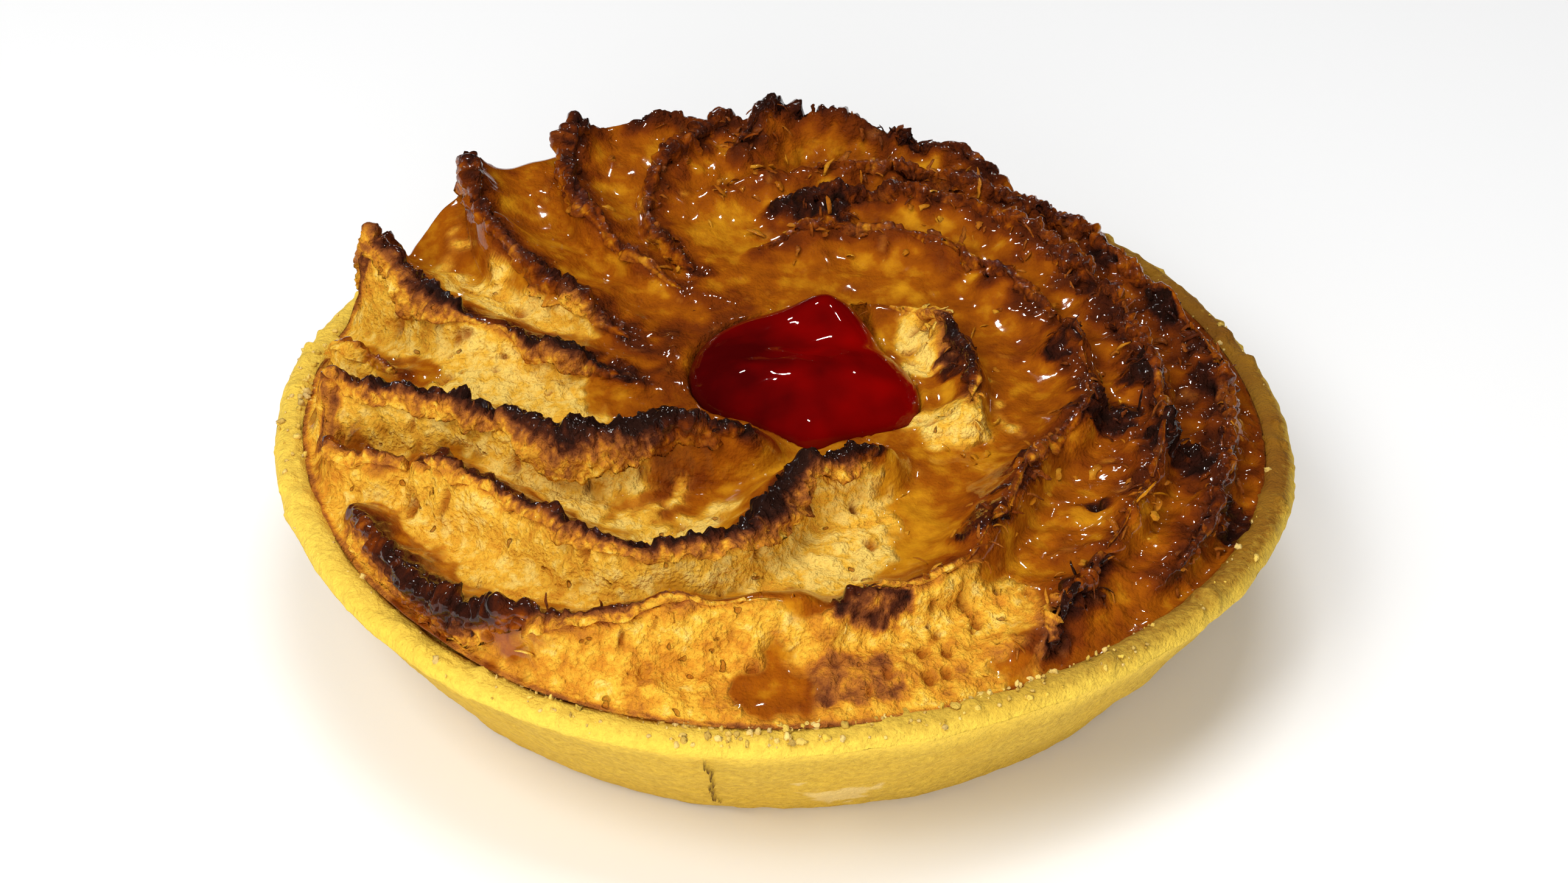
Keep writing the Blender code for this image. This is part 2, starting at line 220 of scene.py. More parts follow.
def mesh_object(
    name: str,
    points: np.ndarray,
    faces: list[np.ndarray],
    values: dict[str, np.ndarray] | None = None,
) -> bpy.types.Object:
    """Makes a smooth-shaded mesh object from arrays.

    Args:
        name: The piece's name.
        points: Rows of x, y and z in mm.
        faces: Arrays of vertex numbers, one row a face.
        values: Point attributes by name.

    Returns:
        The object, linked to the scene at the origin.
    """
    mesh = bpy.data.meshes.new(name)
    mesh.vertices.add(len(points))
    mesh.vertices.foreach_set("co", (points * MM).astype(np.float32).ravel())
    corners = np.concatenate([rows.ravel() for rows in faces]).astype(np.int32)
    totals = np.concatenate([np.full(len(rows), rows.shape[1], np.int32) for rows in faces])
    mesh.loops.add(len(corners))
    mesh.loops.foreach_set("vertex_index", corners)
    mesh.polygons.add(len(totals))
    mesh.polygons.foreach_set("loop_start", np.concatenate([[0], np.cumsum(totals)[:-1]]).astype(np.int32))
    mesh.polygons.foreach_set("loop_total", totals)
    mesh.polygons.foreach_set("use_smooth", np.ones(len(totals), bool))
    mesh.update(calc_edges=True)
    mesh.validate()
    for key, value in (values or {}).items():
        layer = mesh.attributes.new(key, "FLOAT", "POINT")
        layer.data.foreach_set("value", np.asarray(value, np.float32))
    obj = bpy.data.objects.new(name, mesh)
    bpy.context.scene.collection.objects.link(obj)
    return obj


def grid_faces(rows: int, columns: int, wrap: bool) -> np.ndarray:
    """Quads of a grid of vertices, numbered row by row.

    Args:
        rows: Rows of vertices.
        columns: Vertices in a row.
        wrap: Whether the last column joins the first.

    Returns:
        Rows of four vertex numbers.
    """
    row = np.arange(rows - 1)[:, None]
    column = np.arange(columns if wrap else columns - 1)[None, :]
    nextcol = (column + 1) % columns
    a, b = row * columns + column, row * columns + nextcol
    c, d = (row + 1) * columns + nextcol, (row + 1) * columns + column
    return np.stack([a, b, c, d], axis=-1).reshape(-1, 4)


def fan(ring: np.ndarray, centre: int) -> np.ndarray:
    """Triangles from a closed ring of vertex numbers to the number of its centre."""
    return np.stack([ring, np.roll(ring, -1), np.full(len(ring), centre)], axis=1)


def grid_normals(grid: np.ndarray) -> np.ndarray:
    """Unit normals of a grid of points: columns crossed with rows."""
    down, along = np.gradient(grid, axis=(0, 1))
    normal = np.cross(along, down)
    return normal / np.maximum(np.linalg.norm(normal, axis=-1), 1e-9)[..., None]


@dataclass
class Beside:
    """Where points of the filling lie beside a ridge.

    Attributes:
        distance: Distance in plan to the crest in mm.
        outer: 0 on the gentle side and 1 on the steep side.
        left: Unit vectors in plan towards the steep side.
        height: Height of the nearest point of the crest.
        along: How far along the crest that point lies, in mm.
        share: The same as a share of the crest's length.
    """

    distance: np.ndarray
    outer: np.ndarray
    left: np.ndarray
    height: np.ndarray
    along: np.ndarray
    share: np.ndarray


@dataclass(frozen=True)
class Ridge:
    """One piped ridge, from its inner to its outer end.

    Attributes:
        knots: Azimuth in degrees, radius and height of the crest at each knot.
        steep: Width of the steep outer face in mm.
        gentle: Width of the gentle inner slope in mm.
        toast: How dark the crest is at even steps along it, from 0 to 1.
        crust: Thickness in mm of the toasted crust at even steps along it.
    """

    knots: tuple[tuple[float, float, float], ...]
    steep: float
    gentle: float
    toast: tuple[float, ...]
    crust: tuple[float, ...]

    def line(self, count: int) -> np.ndarray:
        """Runs a Catmull-Rom curve through the knots.

        Args:
            count: How many points to return.

        Returns:
            Rows of x, y and height in mm.
        """
        polar = np.array(self.knots, float)
        turn = np.radians(polar[:, 0])
        knots = np.stack([polar[:, 1] * np.cos(turn), polar[:, 1] * np.sin(turn), polar[:, 2]], axis=1)
        knots = np.concatenate([2 * knots[:1] - knots[1:2], knots, 2 * knots[-1:] - knots[-2:-1]])
        place = np.linspace(0.0, len(self.knots) - 1.0, count)
        span = np.minimum(place.astype(int), len(self.knots) - 2)
        t = (place - span)[:, None]
        a, b, c, d = (knots[span + shift] for shift in range(4))
        curve = (2 * a - 5 * b + 4 * c - d) * t**2 + (3 * b - a - 3 * c + d) * t**3
        return 0.5 * (2 * b + (c - a) * t + curve)

    def beside(self, x: np.ndarray, y: np.ndarray) -> Beside:
        """Finds the nearest point of the crest, which is taken as a run of short straight pieces.

        Args:
            x: Plan points in mm.
            y: Plan points in mm.

        Returns:
            Where each point lies beside the crest.
        """
        line = self.line(CREST_SAMPLES)
        start, step = line[:-1], np.diff(line, axis=0)
        bearing = np.gradient(line[:, :2], axis=0)
        bearing /= np.linalg.norm(bearing, axis=1)[:, None]
        length = np.hypot(step[:, 0], step[:, 1])
        away_x, away_y = x[:, None] - start[None, :, 0], y[:, None] - start[None, :, 1]
        t = np.clip((away_x * step[:, 0] + away_y * step[:, 1]) / length**2, 0.0, 1.0)
        away_x, away_y = away_x - t * step[:, 0], away_y - t * step[:, 1]
        near = np.hypot(away_x, away_y).argmin(axis=1)
        rows = np.arange(len(x))
        away_x, away_y, t = away_x[rows, near], away_y[rows, near], t[rows, near]
        distance = np.hypot(away_x, away_y)
        across = (step[near, 0] * away_y - step[near, 1] * away_x) / length[near]
        outer = smoothstep(0.5 + 0.5 * across / np.maximum(distance, 1e-6))
        ahead = bearing[near] + (bearing[near + 1] - bearing[near]) * t[:, None]
        left = np.stack([-ahead[:, 1], ahead[:, 0]], axis=1)
        run = np.concatenate([[0.0], np.cumsum(length)])
        along = run[near] + t * length[near]
        return Beside(distance, outer, left, start[near, 2] + t * step[near, 2], along, along / run[-1])


RIDGES = {
    "left_long": Ridge(
        ((186, 12.5, 4.6), (173, 20.0, 5.4), (168, 27.0, 6.2), (158, 37.0, 8.6)),
        2.0, 4.6, (0.75, 1.0, 0.95, 0.3, 0.9, 0.7, 0.6, 0.55), (0.8, 1.7, 1.6, 0.0, 1.4, 1.4, 1.3, 1.3)),
    "left_back": Ridge(
        ((160, 12.5, 4.2), (152, 20.5, 6.4), (146, 29.0, 8.0), (136, 37.6, 10.0)),
        2.0, 5.2, (0.35, 0.6, 0.72, 0.5, 0.6, 0.66, 0.72), (0.4, 1.2, 1.4, 0.7, 1.3, 1.5, 1.5)),
    "back_left": Ridge(
        ((124, 14.5, 4.2), (130, 21.5, 6.2), (127, 30.0, 7.8), (118, 36.6, 9.2), (111, 37.0, 9.6),
         (105, 36.8, 8.8)),
        2.0, 5.0, (0.36, 0.48, 0.5, 0.58, 0.74, 0.9, 0.9), (0.3, 1.0, 1.1, 1.2, 1.4, 1.7, 1.4)),
    "back": Ridge(
        ((116, 16.5, 4.4), (119, 22.5, 5.6), (112, 28.5, 6.8), (103, 33.0, 7.4), (97, 36.0, 7.4)),
        2.0, 4.6, (0.56, 0.48, 0.44, 0.5, 0.58, 0.62), (1.0, 1.0, 1.0, 1.2, 1.2, 1.0)),
    "back_outer": Ridge(
        ((98, 31.0, 6.6), (91, 36.0, 8.6), (83, 36.8, 8.6), (73, 36.4, 6.2), (60, 34.8, 4.4)),
        1.8, 4.0, (0.5, 0.72, 0.78, 0.66, 0.55), (0.5, 1.3, 1.5, 1.1, 1.0)),
    "back_right": Ridge(
        ((104, 26.0, 5.6), (84, 28.4, 6.0), (62, 31.4, 5.0), (38, 32.8, 3.4), (8, 34.2, 2.6),
         (-22, 34.4, 2.4), (-36, 35.4, 2.0)),
        1.9, 3.6, (0.25, 0.3, 0.45, 0.5, 0.36, 0.32, 0.36, 0.5, 0.5),
        (0.0, 0.3, 1.1, 1.1, 0.6, 0.5, 0.8, 0.8, 0.5)),
    "right_outer": Ridge(
        ((92, 23.4, 5.0), (70, 25.4, 6.0), (50, 27.6, 5.4), (24, 28.0, 4.6), (-8, 28.6, 4.3),
         (-34, 30.2, 3.6), (-60, 35.4, 2.0)),
        1.9, 3.4, (0.9, 0.5, 0.4, 0.55, 0.5, 0.36, 0.36, 0.3, 0.3),
        (1.2, 1.3, 0.8, 1.2, 1.0, 0.5, 0.3, 0.2, 0.2)),
    "right_inner": Ridge(
        ((98, 17.6, 4.2), (76, 20.2, 5.2), (48, 21.4, 5.0), (20, 22.4, 4.8), (-8, 23.2, 4.6),
         (-30, 21.6, 4.8), (-50, 24.4, 4.8), (-64, 28.0, 4.6), (-84, 30.0, 4.4)),
        1.9, 3.2, (0.3, 0.36, 0.36, 0.42, 0.45, 0.36, 0.42, 0.5, 0.45, 0.3, 0.3, 0.2),
        (0.5, 0.9, 0.7, 1.0, 0.8, 0.2, 0.4, 0.8, 0.6, 0.2, 0.3, 0.0)),
    "well_edge": Ridge(
        ((58, 11.2, 4.0), (30, 13.0, 5.0), (2, 13.8, 5.2), (-24, 14.6, 4.4)),
        1.9, 1.8, (0.1, 0.2, 0.8, 0.75, 0.1), (0.0, 0.3, 0.9, 0.9, 0.0)),
    "front_outer": Ridge(
        ((-88, 29.4, 5.0), (-104, 30.8, 5.2), (-116, 34.2, 4.6), (-130, 36.3, 3.6), (-150, 36.2, 3.2)),
        2.2, 3.4, (0.15, 0.25, 0.42, 0.68, 0.72, 0.66, 0.5), (0.0, 0.3, 0.8, 1.3, 1.5, 1.5, 1.1)),
    "front_inner": Ridge(
        ((-62, 14.6, 6.1), (-86, 16.4, 6.8), (-98, 23.8, 6.4), (-114, 27.2, 6.2), (-136, 27.4, 6.0),
         (-150, 30.0, 5.8)),
        2.1, 3.6, (1.0, 1.0, 1.0, 0.8, 0.7, 0.66, 0.5), (1.4, 1.8, 1.4, 1.1, 1.0, 1.0, 0.8)),
    "left_front": Ridge(
        ((-104, 11.8, 6.9), (-124, 14.2, 7.9), (-140, 20.4, 7.1), (-160, 25.8, 6.8), (-172, 35.2, 6.2)),
        2.0, 3.6, (0.95, 1.0, 0.95, 0.8, 0.66, 0.62), (1.2, 2.0, 1.7, 1.4, 1.4, 1.3)),
    "left_low": Ridge(
        ((-152, 29.4, 3.8), (-157, 33.0, 4.4), (-163, 35.8, 4.2)),
        1.8, 2.4, (0.36, 0.42, 0.4), (0.6, 1.1, 0.9)),
    "left_knob": Ridge(
        ((180, 30.0, 3.6), (176, 33.6, 4.0), (173, 36.0, 3.4)),
        1.8, 2.0, (0.3, 0.36, 0.3), (0.6, 1.2, 0.9)),
    "right_low": Ridge(
        ((-57.6, 35.4, 1.4), (-50.3, 33.7, 2.9), (-42.5, 32.6, 2.2)),
        1.6, 2.4, (0.75, 0.85, 0.8), (1.2, 1.5, 1.3)),
}
LEFT_RIDGES = (
    "left_long", "left_back", "back_left", "front_outer", "front_inner", "left_front", "left_low",
    "left_knob")
RIGHT_RIDGES = ("back", "back_outer", "back_right", "right_outer", "right_inner", "well_edge", "right_low")
CREST_SAMPLES = 41
RIDGE_MERGE = 0.3
GENTLE_POWER = 1.7
STEEP_POWER = 2.4
BAND_POWER = 2.2
BAND_BEHIND = 1.7
BAND_AHEAD = 0.7
WELL_START = 0.97
WELL_EASE = 0.07
LUMP_HEIGHT = 0.45
LUMP_LENGTH = 7.0
LUMP_BEAT = 26.0


@dataclass(frozen=True)
class CherryShape:
    """Form of the half cherry, the same as its solid's, lying cut side down.

    Attributes:
        centre: Its middle in plan.
        radius: Radius of its plain outline.
        foot: Height of its widest level.
        rise: Height of its top over its widest level.
        depth: Depth of its rounded underside.
        lobes: Azimuth and half width in degrees, and height, of each lobe of its outline.
        swells: x, y, half width and height of each dent or swell of its top.
    """

    centre: tuple[float, float] = (1.2, 0.9)
    radius: float = 8.8
    foot: float = 2.4
    rise: float = 3.4
    depth: float = 2.2
    lobes: tuple[tuple[float, float, float], ...] = (
        (76, 17, 1.9), (25, 22, -1.3), (-31, 24, 1.5), (-85, 16, 0.6), (-122, 20, -1.0))
    swells: tuple[tuple[float, float, float, float], ...] = (
        (4.2, 8.6, 3.2, 1.5), (-3.8, 3.6, 4.4, -0.9), (2.4, 3.0, 3.0, -0.8), (4.6, -3.4, 4.0, 0.5))

    def outline(self, azimuth: np.ndarray) -> np.ndarray:
        """Radius of the outline: a circle plus a bell curve for each lobe."""
        radius = np.full_like(azimuth, self.radius)
        for at, width, height in self.lobes:
            turn = (azimuth - math.radians(at) + math.pi) % (2 * math.pi) - math.pi
            radius = radius + height * np.exp(-((turn / math.radians(width)) ** 2))
        return radius

    def share(self, x: np.ndarray, y: np.ndarray) -> np.ndarray:
        """0 at the cherry's centre and 1 on its outline."""
        across, along = x - self.centre[0], y - self.centre[1]
        return np.hypot(across, along) / self.outline(np.arctan2(along, across))

    def underside(self, share: np.ndarray) -> np.ndarray:
        """Height of the rounded cut face: flat in the middle, rising with the fourth power of the share."""
        return self.foot - self.depth + self.depth * np.clip(share, 0.0, 1.0) ** 4

    def top(self, x: np.ndarray, y: np.ndarray) -> np.ndarray:
        """Height of the top: a flattened dome plus a bell curve for each swell."""
        share = np.clip(self.share(x, y), 0.0, 1.0)
        height = self.foot + self.rise * np.sqrt(np.clip(1.0 - share**2.6, 0.0, 1.0))
        for at_x, at_y, width, swell in self.swells:
            near = np.exp(-(((x - at_x) ** 2 + (y - at_y) ** 2) / width**2))
            height = height + swell * near * (1.0 - share**4)
        return height


@dataclass(frozen=True)
class Patch:
    """A soft round spot on the filling, where something changes.

    Attributes:
        x: Its middle in plan, in mm.
        y: Its middle in plan, in mm.
        size: Its half width in mm.
        strength: How much it adds at its middle.
    """

    x: float
    y: float
    size: float
    strength: float

    def at(self, x: np.ndarray, y: np.ndarray) -> np.ndarray:
        """The strength times a bell curve of the distance."""
        return self.strength * np.exp(-(((x - self.x) ** 2 + (y - self.y) ** 2) / self.size**2))


@dataclass(frozen=True)
class Knob:
    """A short lump on the filling.

    Attributes:
        x: Its middle in plan, in mm.
        y: Its middle in plan, in mm.
        long: Half its length in mm.
        wide: Half its width in mm.
        turn: Azimuth of its length in degrees.
        rise: How far it stands up in mm.
        toast: How dark it is, from 0 to 1.
    """

    x: float
    y: float
    long: float
    wide: float
    turn: float
    rise: float
    toast: float

    def at(self, x: np.ndarray, y: np.ndarray) -> np.ndarray:
        """1 at its middle, falling by a bell curve of the distance in half lengths and half widths."""
        cosine, sine = math.cos(math.radians(self.turn)), math.sin(math.radians(self.turn))
        along = (x - self.x) * cosine + (y - self.y) * sine
        across = (y - self.y) * cosine - (x - self.x) * sine
        return np.exp(-((along / self.long) ** 2 + (across / self.wide) ** 2))


KNOBS = (
    Knob(2.4, 23.0, 2.9, 1.5, -12, 0.5, 0.95), Knob(13.2, 1.5, 1.9, 1.5, 90, 0.3, 0.8),
    Knob(21.6, 4.0, 1.9, 1.3, 80, 0.9, 0.85), Knob(27.0, 0.8, 2.4, 1.3, 70, 0.9, 0.85),
    Knob(30.7, 12.4, 2.2, 1.4, -50, 0.9, 0.85), Knob(26.6, 19.0, 2.6, 1.0, -45, 0.7, 0.8),
    Knob(24.0, -4.6, 2.9, 1.8, 20, 1.2, 0.85), Knob(29.2, -8.0, 2.7, 1.6, -12, 1.1, 0.9),
    Knob(23.0, -14.7, 0.8, 0.8, 0, -0.9, 0.9), Knob(6.2, -29.0, 2.6, 1.3, 10, 0.6, 0.7),
    Knob(33.9, -13.2, 2.4, 1.2, 80, 0.7, 0.75), Knob(14.2, -20.2, 2.6, 1.3, 62, 0.8, 0.7),
    Knob(17.6, -13.6, 2.6, 1.2, 70, 0.8, 0.65), Knob(33.0, 3.0, 2.0, 1.2, -70, 0.7, 0.6),
    Knob(22.0, 24.5, 2.4, 1.3, -40, 0.6, 0.6), Knob(12.4, 25.4, 2.6, 1.1, -20, 0.5, 0.6),
    Knob(5.2, -33.9, 3.0, 1.8, 0, 0.2, 0.36), Knob(-34.8, -6.5, 1.2, 0.9, 40, 0.5, 0.45),
    Knob(-24.6, -15.2, 0.7, 1.8, 20, 1.0, 0.42), Knob(12.7, -6.0, 1.7, 1.3, 30, 0.9, 0.0),
    Knob(-33.2, 11.8, 1.1, 0.9, 20, 1.0, 0.6), Knob(-31.6, 14.2, 1.0, 0.8, 60, 1.2, 0.66),
)


@dataclass(frozen=True)
class Sector:
    """A stretch of the filling with soft ends, from one azimuth to another and out from a radius.

    Attributes:
        start: Azimuth in degrees where it starts to come in.
        rise: Degrees over which it comes in.
        stop: Azimuth in degrees where it has gone out.
        fall: Degrees over which it goes out.
        inner: Radius in mm where it starts to come in.
        ease: How many mm that takes.
    """

    start: float
    rise: float
    stop: float
    fall: float
    inner: float = -1.0
    ease: float = 1.0

    def at(self, x: np.ndarray, y: np.ndarray) -> np.ndarray:
        """1 inside the stretch and 0 outside it."""
        past = (np.degrees(np.arctan2(y, x)) - self.start) % 360.0
        around = smoothstep(past / self.rise) * smoothstep((self.stop - self.start - past) / self.fall)
        return around * smoothstep((np.hypot(x, y) - self.inner) / self.ease)


@dataclass
class Baked:
    """What the bake left at each point of the filling.

    Attributes:
        height: Height of the top over the rim.
        lean: Plan shift of the crests towards their steep faces.
        toast: How dark, from 0 to 1.
        glaze: How much glaze lies on it, from 0 to 1.
    """

    height: np.ndarray
    lean: np.ndarray
    toast: np.ndarray
    glaze: np.ndarray


@dataclass
class FillingShape:
    """The filling's form, the same as its solid's but baked fast to the rim, with its baking added.

    Attributes:
        valley: Height between the ridges in the middle.
        tilt: How much higher the back left lies than the front right.
        tilt_azimuth: Azimuth of the highest side in degrees.
        shoulder: Radius at which the valleys start to fall to the rim.
        edge_sink: How far under the rim the edge lies.
        front_lift: How much higher the edge lies at the front.
        edge_reach: Radius of its edge, just inside the rim's rounded inner corner.
        overflow: How far it laps over the rim at the front.
        overflow_start: Radius at which it starts to move outwards for that.
        overflow_ease: How many mm further out it has moved all the way.
        front_azimuth: Azimuth of the middle of the front in degrees.
        front_spread: Half width of the front in degrees.
        back_rise: Height that the valleys climb to at the back left.
        lean: How far a crest leans out over its steep face.
        cherry: The cherry that is pressed into it.
        mound: The back left, where the valleys climb.
        right: The right, where the filling slopes down to the rim.
        torn: The rough right and back right.
        missed: The left and the front, where the glaze missed the crumb.
        ragged: Unevenness of the toasting and the glaze.
        fine: Finer unevenness of the toasting.
        pale_spots: Places that the glaze missed.
        glaze_spots: Pools of glaze in the bare part.
        tone_spots: Where the glaze is thick and dark, above 0, or thin and light, below 0.
    """

    valley: float = 2.3
    tilt: float = 1.3
    tilt_azimuth: float = 128.0
    shoulder: float = 24.0
    edge_sink: float = 0.35
    front_lift: float = 0.3
    edge_reach: float = 37.75
    overflow: float = 0.7
    overflow_start: float = 31.0
    overflow_ease: float = 6.0
    front_azimuth: float = -88.0
    front_spread: float = 40.0
    back_rise: float = 6.8
    lean: float = 0.8
    cherry: CherryShape = CherryShape()
    mound: Sector = Sector(80.0, 16.0, 164.0, 24.0, 20.0, 14.0)
    right: Sector = Sector(-105.0, 20.0, 62.0, 16.0)
    torn: Sector = Sector(-62.0, 30.0, 118.0, 30.0, 23.0, 6.0)
    missed: Sector = Sector(146.0, 16.0, 308.0, 24.0, 13.0, 5.0)
    ragged: Relief = Relief(1.0, 2.2, 2, 11)
    fine: Relief = Relief(1.0, 0.9, 2, 13)
    pale_spots: tuple[Patch, ...] = (
        Patch(12.7, -6.0, 2.4, 1.4), Patch(10.6, 6.4, 2.0, 1.5), Patch(11.2, 2.6, 1.6, 1.4),
        Patch(10.8, 9.6, 1.3, 1.0), Patch(2.6, -22.6, 3.0, 0.5),
        Patch(16.0, -27.5, 3.4, 0.9), Patch(9.0, -32.5, 4.0, 0.9))
    glaze_spots: tuple[Patch, ...] = (
        Patch(-2.6, -34.9, 1.3, 0.8), Patch(-1.2, -35.8, 1.5, 0.9), Patch(0.4, -34.4, 1.9, 0.7),
        Patch(2.4, -35.8, 1.6, 0.6), Patch(-0.4, -32.6, 1.5, 0.4), Patch(5.0, -33.4, 3.4, 0.3),
        Patch(-24.8, -27.5, 4.0, 0.9), Patch(-18.0, -31.0, 3.0, 0.7),
        Patch(-30.0, -2.0, 2.2, 0.6), Patch(-9.0, -16.0, 4.5, 0.8), Patch(12.5, -20.6, 3.6, 0.9),
        Patch(8.4, -24.4, 2.4, 0.5))
    tone_spots: tuple[Patch, ...] = (
        Patch(-3.5, 19.5, 5.5, -0.10), Patch(9.5, 15.0, 4.0, -0.06), Patch(25.0, -15.0, 4.0, -0.10),
        Patch(16.5, -8.0, 4.0, -0.04), Patch(-8.0, -14.5, 5.0, 0.22), Patch(-14.0, 6.0, 4.0, 0.08),
        Patch(-22.0, 28.0, 5.0, 0.06), Patch(30.0, -20.0, 3.0, -0.05), Patch(18.0, 14.0, 4.0, 0.08))

    def valley_height(self, x: np.ndarray, y: np.ndarray) -> np.ndarray:
        """Height between ridges: a tilted plateau that falls to just under the rim at the edge."""
        radius = np.hypot(x, y)
        tilt = self.tilt * np.cos(np.arctan2(y, x) - math.radians(self.tilt_azimuth)) * radius / RIM_RADIUS
        fall = smoothstep((radius - self.shoulder) / (RIM_RADIUS - RIM_WIDTH - self.shoulder))
        sink = self.edge_sink - self.front_lift * self.front(x, y)
        return (self.valley + tilt) * (1.0 - fall) - sink * fall

    def front(self, x: np.ndarray, y: np.ndarray) -> np.ndarray:
        """1 at the front and 0 elsewhere, by a bell curve of the azimuth."""
        from_front = (np.degrees(np.arctan2(y, x)) - self.front_azimuth + 180.0) % 360.0 - 180.0
        return np.exp(-((np.abs(from_front) / self.front_spread) ** 2.6))

    def lap(self, x: np.ndarray, y: np.ndarray) -> tuple[np.ndarray, np.ndarray]:
        """Moves plan points outwards near the edge, where the filling laps over the rim."""
        radius = np.maximum(np.hypot(x, y), 1e-6)
        near_edge = smoothstep((radius - self.overflow_start) / self.overflow_ease)
        out = self.overflow * self.front(x, y) * near_edge
        return x * (1.0 + out / radius), y * (1.0 + out / radius)

    def seat(self, points: np.ndarray) -> np.ndarray:
        """Puts points of the filling in the case: lapped at the front, out of round and raised to the rim."""
        x, y = out_of_round(*self.lap(points[:, 0], points[:, 1]), np.full(len(points), CASE_HEIGHT))
        return np.stack([x, y, CASE_HEIGHT + points[:, 2]], axis=1)

    def form(self, x: np.ndarray, y: np.ndarray) -> Baked:
        """Works out height and lean, with the bands and the glaze that the ridges give.

        The height is a soft maximum of the valley and of every ridge. A ridge falls from its crest by a bell
        curve of the distance, faster on its outer side. The toast is that of the ridge whose band is darkest.

        Args:
            x: Plan points in mm, before the rim's lobes.
            y: Plan points in mm, before the rim's lobes.

        Returns:
            The ridges' own part of the baked filling.
        """
        valley = self.valley_height(x, y)
        mound = valley + (self.back_rise - valley) * self.mound.at(x, y)
        total = np.exp(valley / RIDGE_MERGE) + np.exp(mound / RIDGE_MERGE)
        lean = np.zeros((len(x), 2))
        band, darkest, away_share, slope_glaze = np.zeros((4, len(x)))
        for ridge in RIDGES.values():
            spot = ridge.beside(x, y)
            width = ridge.gentle + (ridge.steep - ridge.gentle) * spot.outer
            power = GENTLE_POWER + (STEEP_POWER - GENTLE_POWER) * spot.outer
            share = np.exp(-((spot.distance / width) ** power))
            turn = 2 * math.pi * spot.along / LUMP_LENGTH + ridge.knots[0][0]
            lump = LUMP_HEIGHT * np.sin(turn) * np.sin(2 * math.pi * spot.along / LUMP_BEAT)
            weight = np.exp((valley + (spot.height + lump - valley) * share) / RIDGE_MERGE)
            total = total + weight
            lean += (weight * share)[:, None] * spot.left
            dark = np.interp(spot.share, np.linspace(0.0, 1.0, len(ridge.toast)), ridge.toast)
            behind = min(BAND_BEHIND, 0.5 * ridge.gentle)
            from_crest = spot.distance / (behind + (BAND_AHEAD - behind) * spot.outer)
            own_band = dark * np.exp(-(from_crest**BAND_POWER))
            darker = own_band > band
            band = np.where(darker, own_band, band)
            darkest, away_share = np.where(darker, dark, darkest), np.where(darker, from_crest, away_share)
            behind_crest = (1.0 - spot.outer) * np.exp(-((spot.distance / 3.0) ** 2))
            slope_glaze = np.maximum(slope_glaze, behind_crest)
        height = RIDGE_MERGE * np.log(total)
        lean *= (self.lean / total)[:, None]
        right = self.right.at(x, y)
        edge = smoothstep((RIM_RADIUS - RIM_WIDTH - np.hypot(x, y)) / (2.0 + 1.4 * right))
        hold = 0.25 * (1.0 - right)
        height = valley + (height - valley) * (hold + (1.0 - hold) * edge)
        height = height + edge * sum(knob.rise * knob.at(x, y) for knob in KNOBS)
        share = self.cherry.share(x, y)
        well = smoothstep((share - WELL_START) / WELL_EASE)
        height = height * well + (self.cherry.underside(share) - GAP) * (1.0 - well)
        ragged = self.ragged.at(np.stack([x, y, height], axis=1))
        toast = darkest * np.exp(-((away_share / (1.0 + 0.5 * ragged)) ** BAND_POWER))
        return Baked(height, lean * edge[:, None], toast, slope_glaze)

    def bake(self, x: np.ndarray, y: np.ndarray) -> Baked:
        """Works out height, lean, toasting and glaze.

        To the ridges' bands come the knobs' spots, the tone of the glaze, which is darker by the cherry and
        at the far right, the tan of the bare front, and a painted shade line along the rim.

        Args:
            x: Plan points in mm, before the rim's lobes.
            y: Plan points in mm, before the rim's lobes.

        Returns:
            The baked filling at each point.
        """
        form = self.form(x, y)
        surface = np.stack([x, y, form.height], axis=1)
        ragged, fine = self.ragged.at(surface), self.fine.at(surface)
        bare = self.missed.at(x, y) * (1.0 - smoothstep(form.glaze * 1.4))
        bare = bare - sum(spot.at(x, y) for spot in self.glaze_spots)
        bare = bare + sum(spot.at(x, y) for spot in self.pale_spots) + 0.45 * ragged
        glaze = 1.0 - smoothstep((bare - 0.25) / 0.4)
        torn = 1.0 + 0.7 * ragged + 0.5 * fine
        spots = [knob.toast * smoothstep(2.8 * (knob.at(x, y) * torn - 0.14)) for knob in KNOBS]
        toast = np.maximum(form.toast, np.max(spots, axis=0) * (0.84 + 0.40 * fine))
        radius = np.hypot(x, y)
        front = self.front(x, y)
        back = smoothstep((radius - 14.0) / 16.0) * smoothstep((y * 0.8 - x * 0.1 + 2.0) / 24.0)
        by_cherry = np.exp(-(((self.cherry.share(x, y) - 1.2) / 0.35) ** 2)) * smoothstep((2.0 - x) / 8.0)
        far_right = smoothstep((x - 14.0) / 16.0) * smoothstep((y + 18.0) / 12.0)
        amber = 0.21 * (1.0 - 0.7 * front) * (1.0 - 0.38 * back) + 0.13 * far_right
        amber = amber + sum(spot.at(x, y) for spot in self.tone_spots) + 0.18 * by_cherry
        tanned = 0.06 * smoothstep((radius - 23.0) / 7.0) + 0.03 * smoothstep((-x - 24.0) / 8.0)
        tanned = tanned + 0.13 * front * smoothstep((radius - 27.0) / 8.0)
        toast = toast + (tanned + glaze * amber) * (1.0 + 0.6 * ragged) * (1.0 - 0.6 * toast)
        # Painted shade: a dark line along the edge where the filling meets the rim.
        toast = np.maximum(toast, 0.42 * smoothstep((radius - self.edge_reach + 0.8) / 0.6))
        return Baked(form.height, form.lean, np.clip(toast, 0.0, 1.1), glaze)


Colour = tuple[float, float, float]
Stops = tuple[tuple[float, Colour], ...]


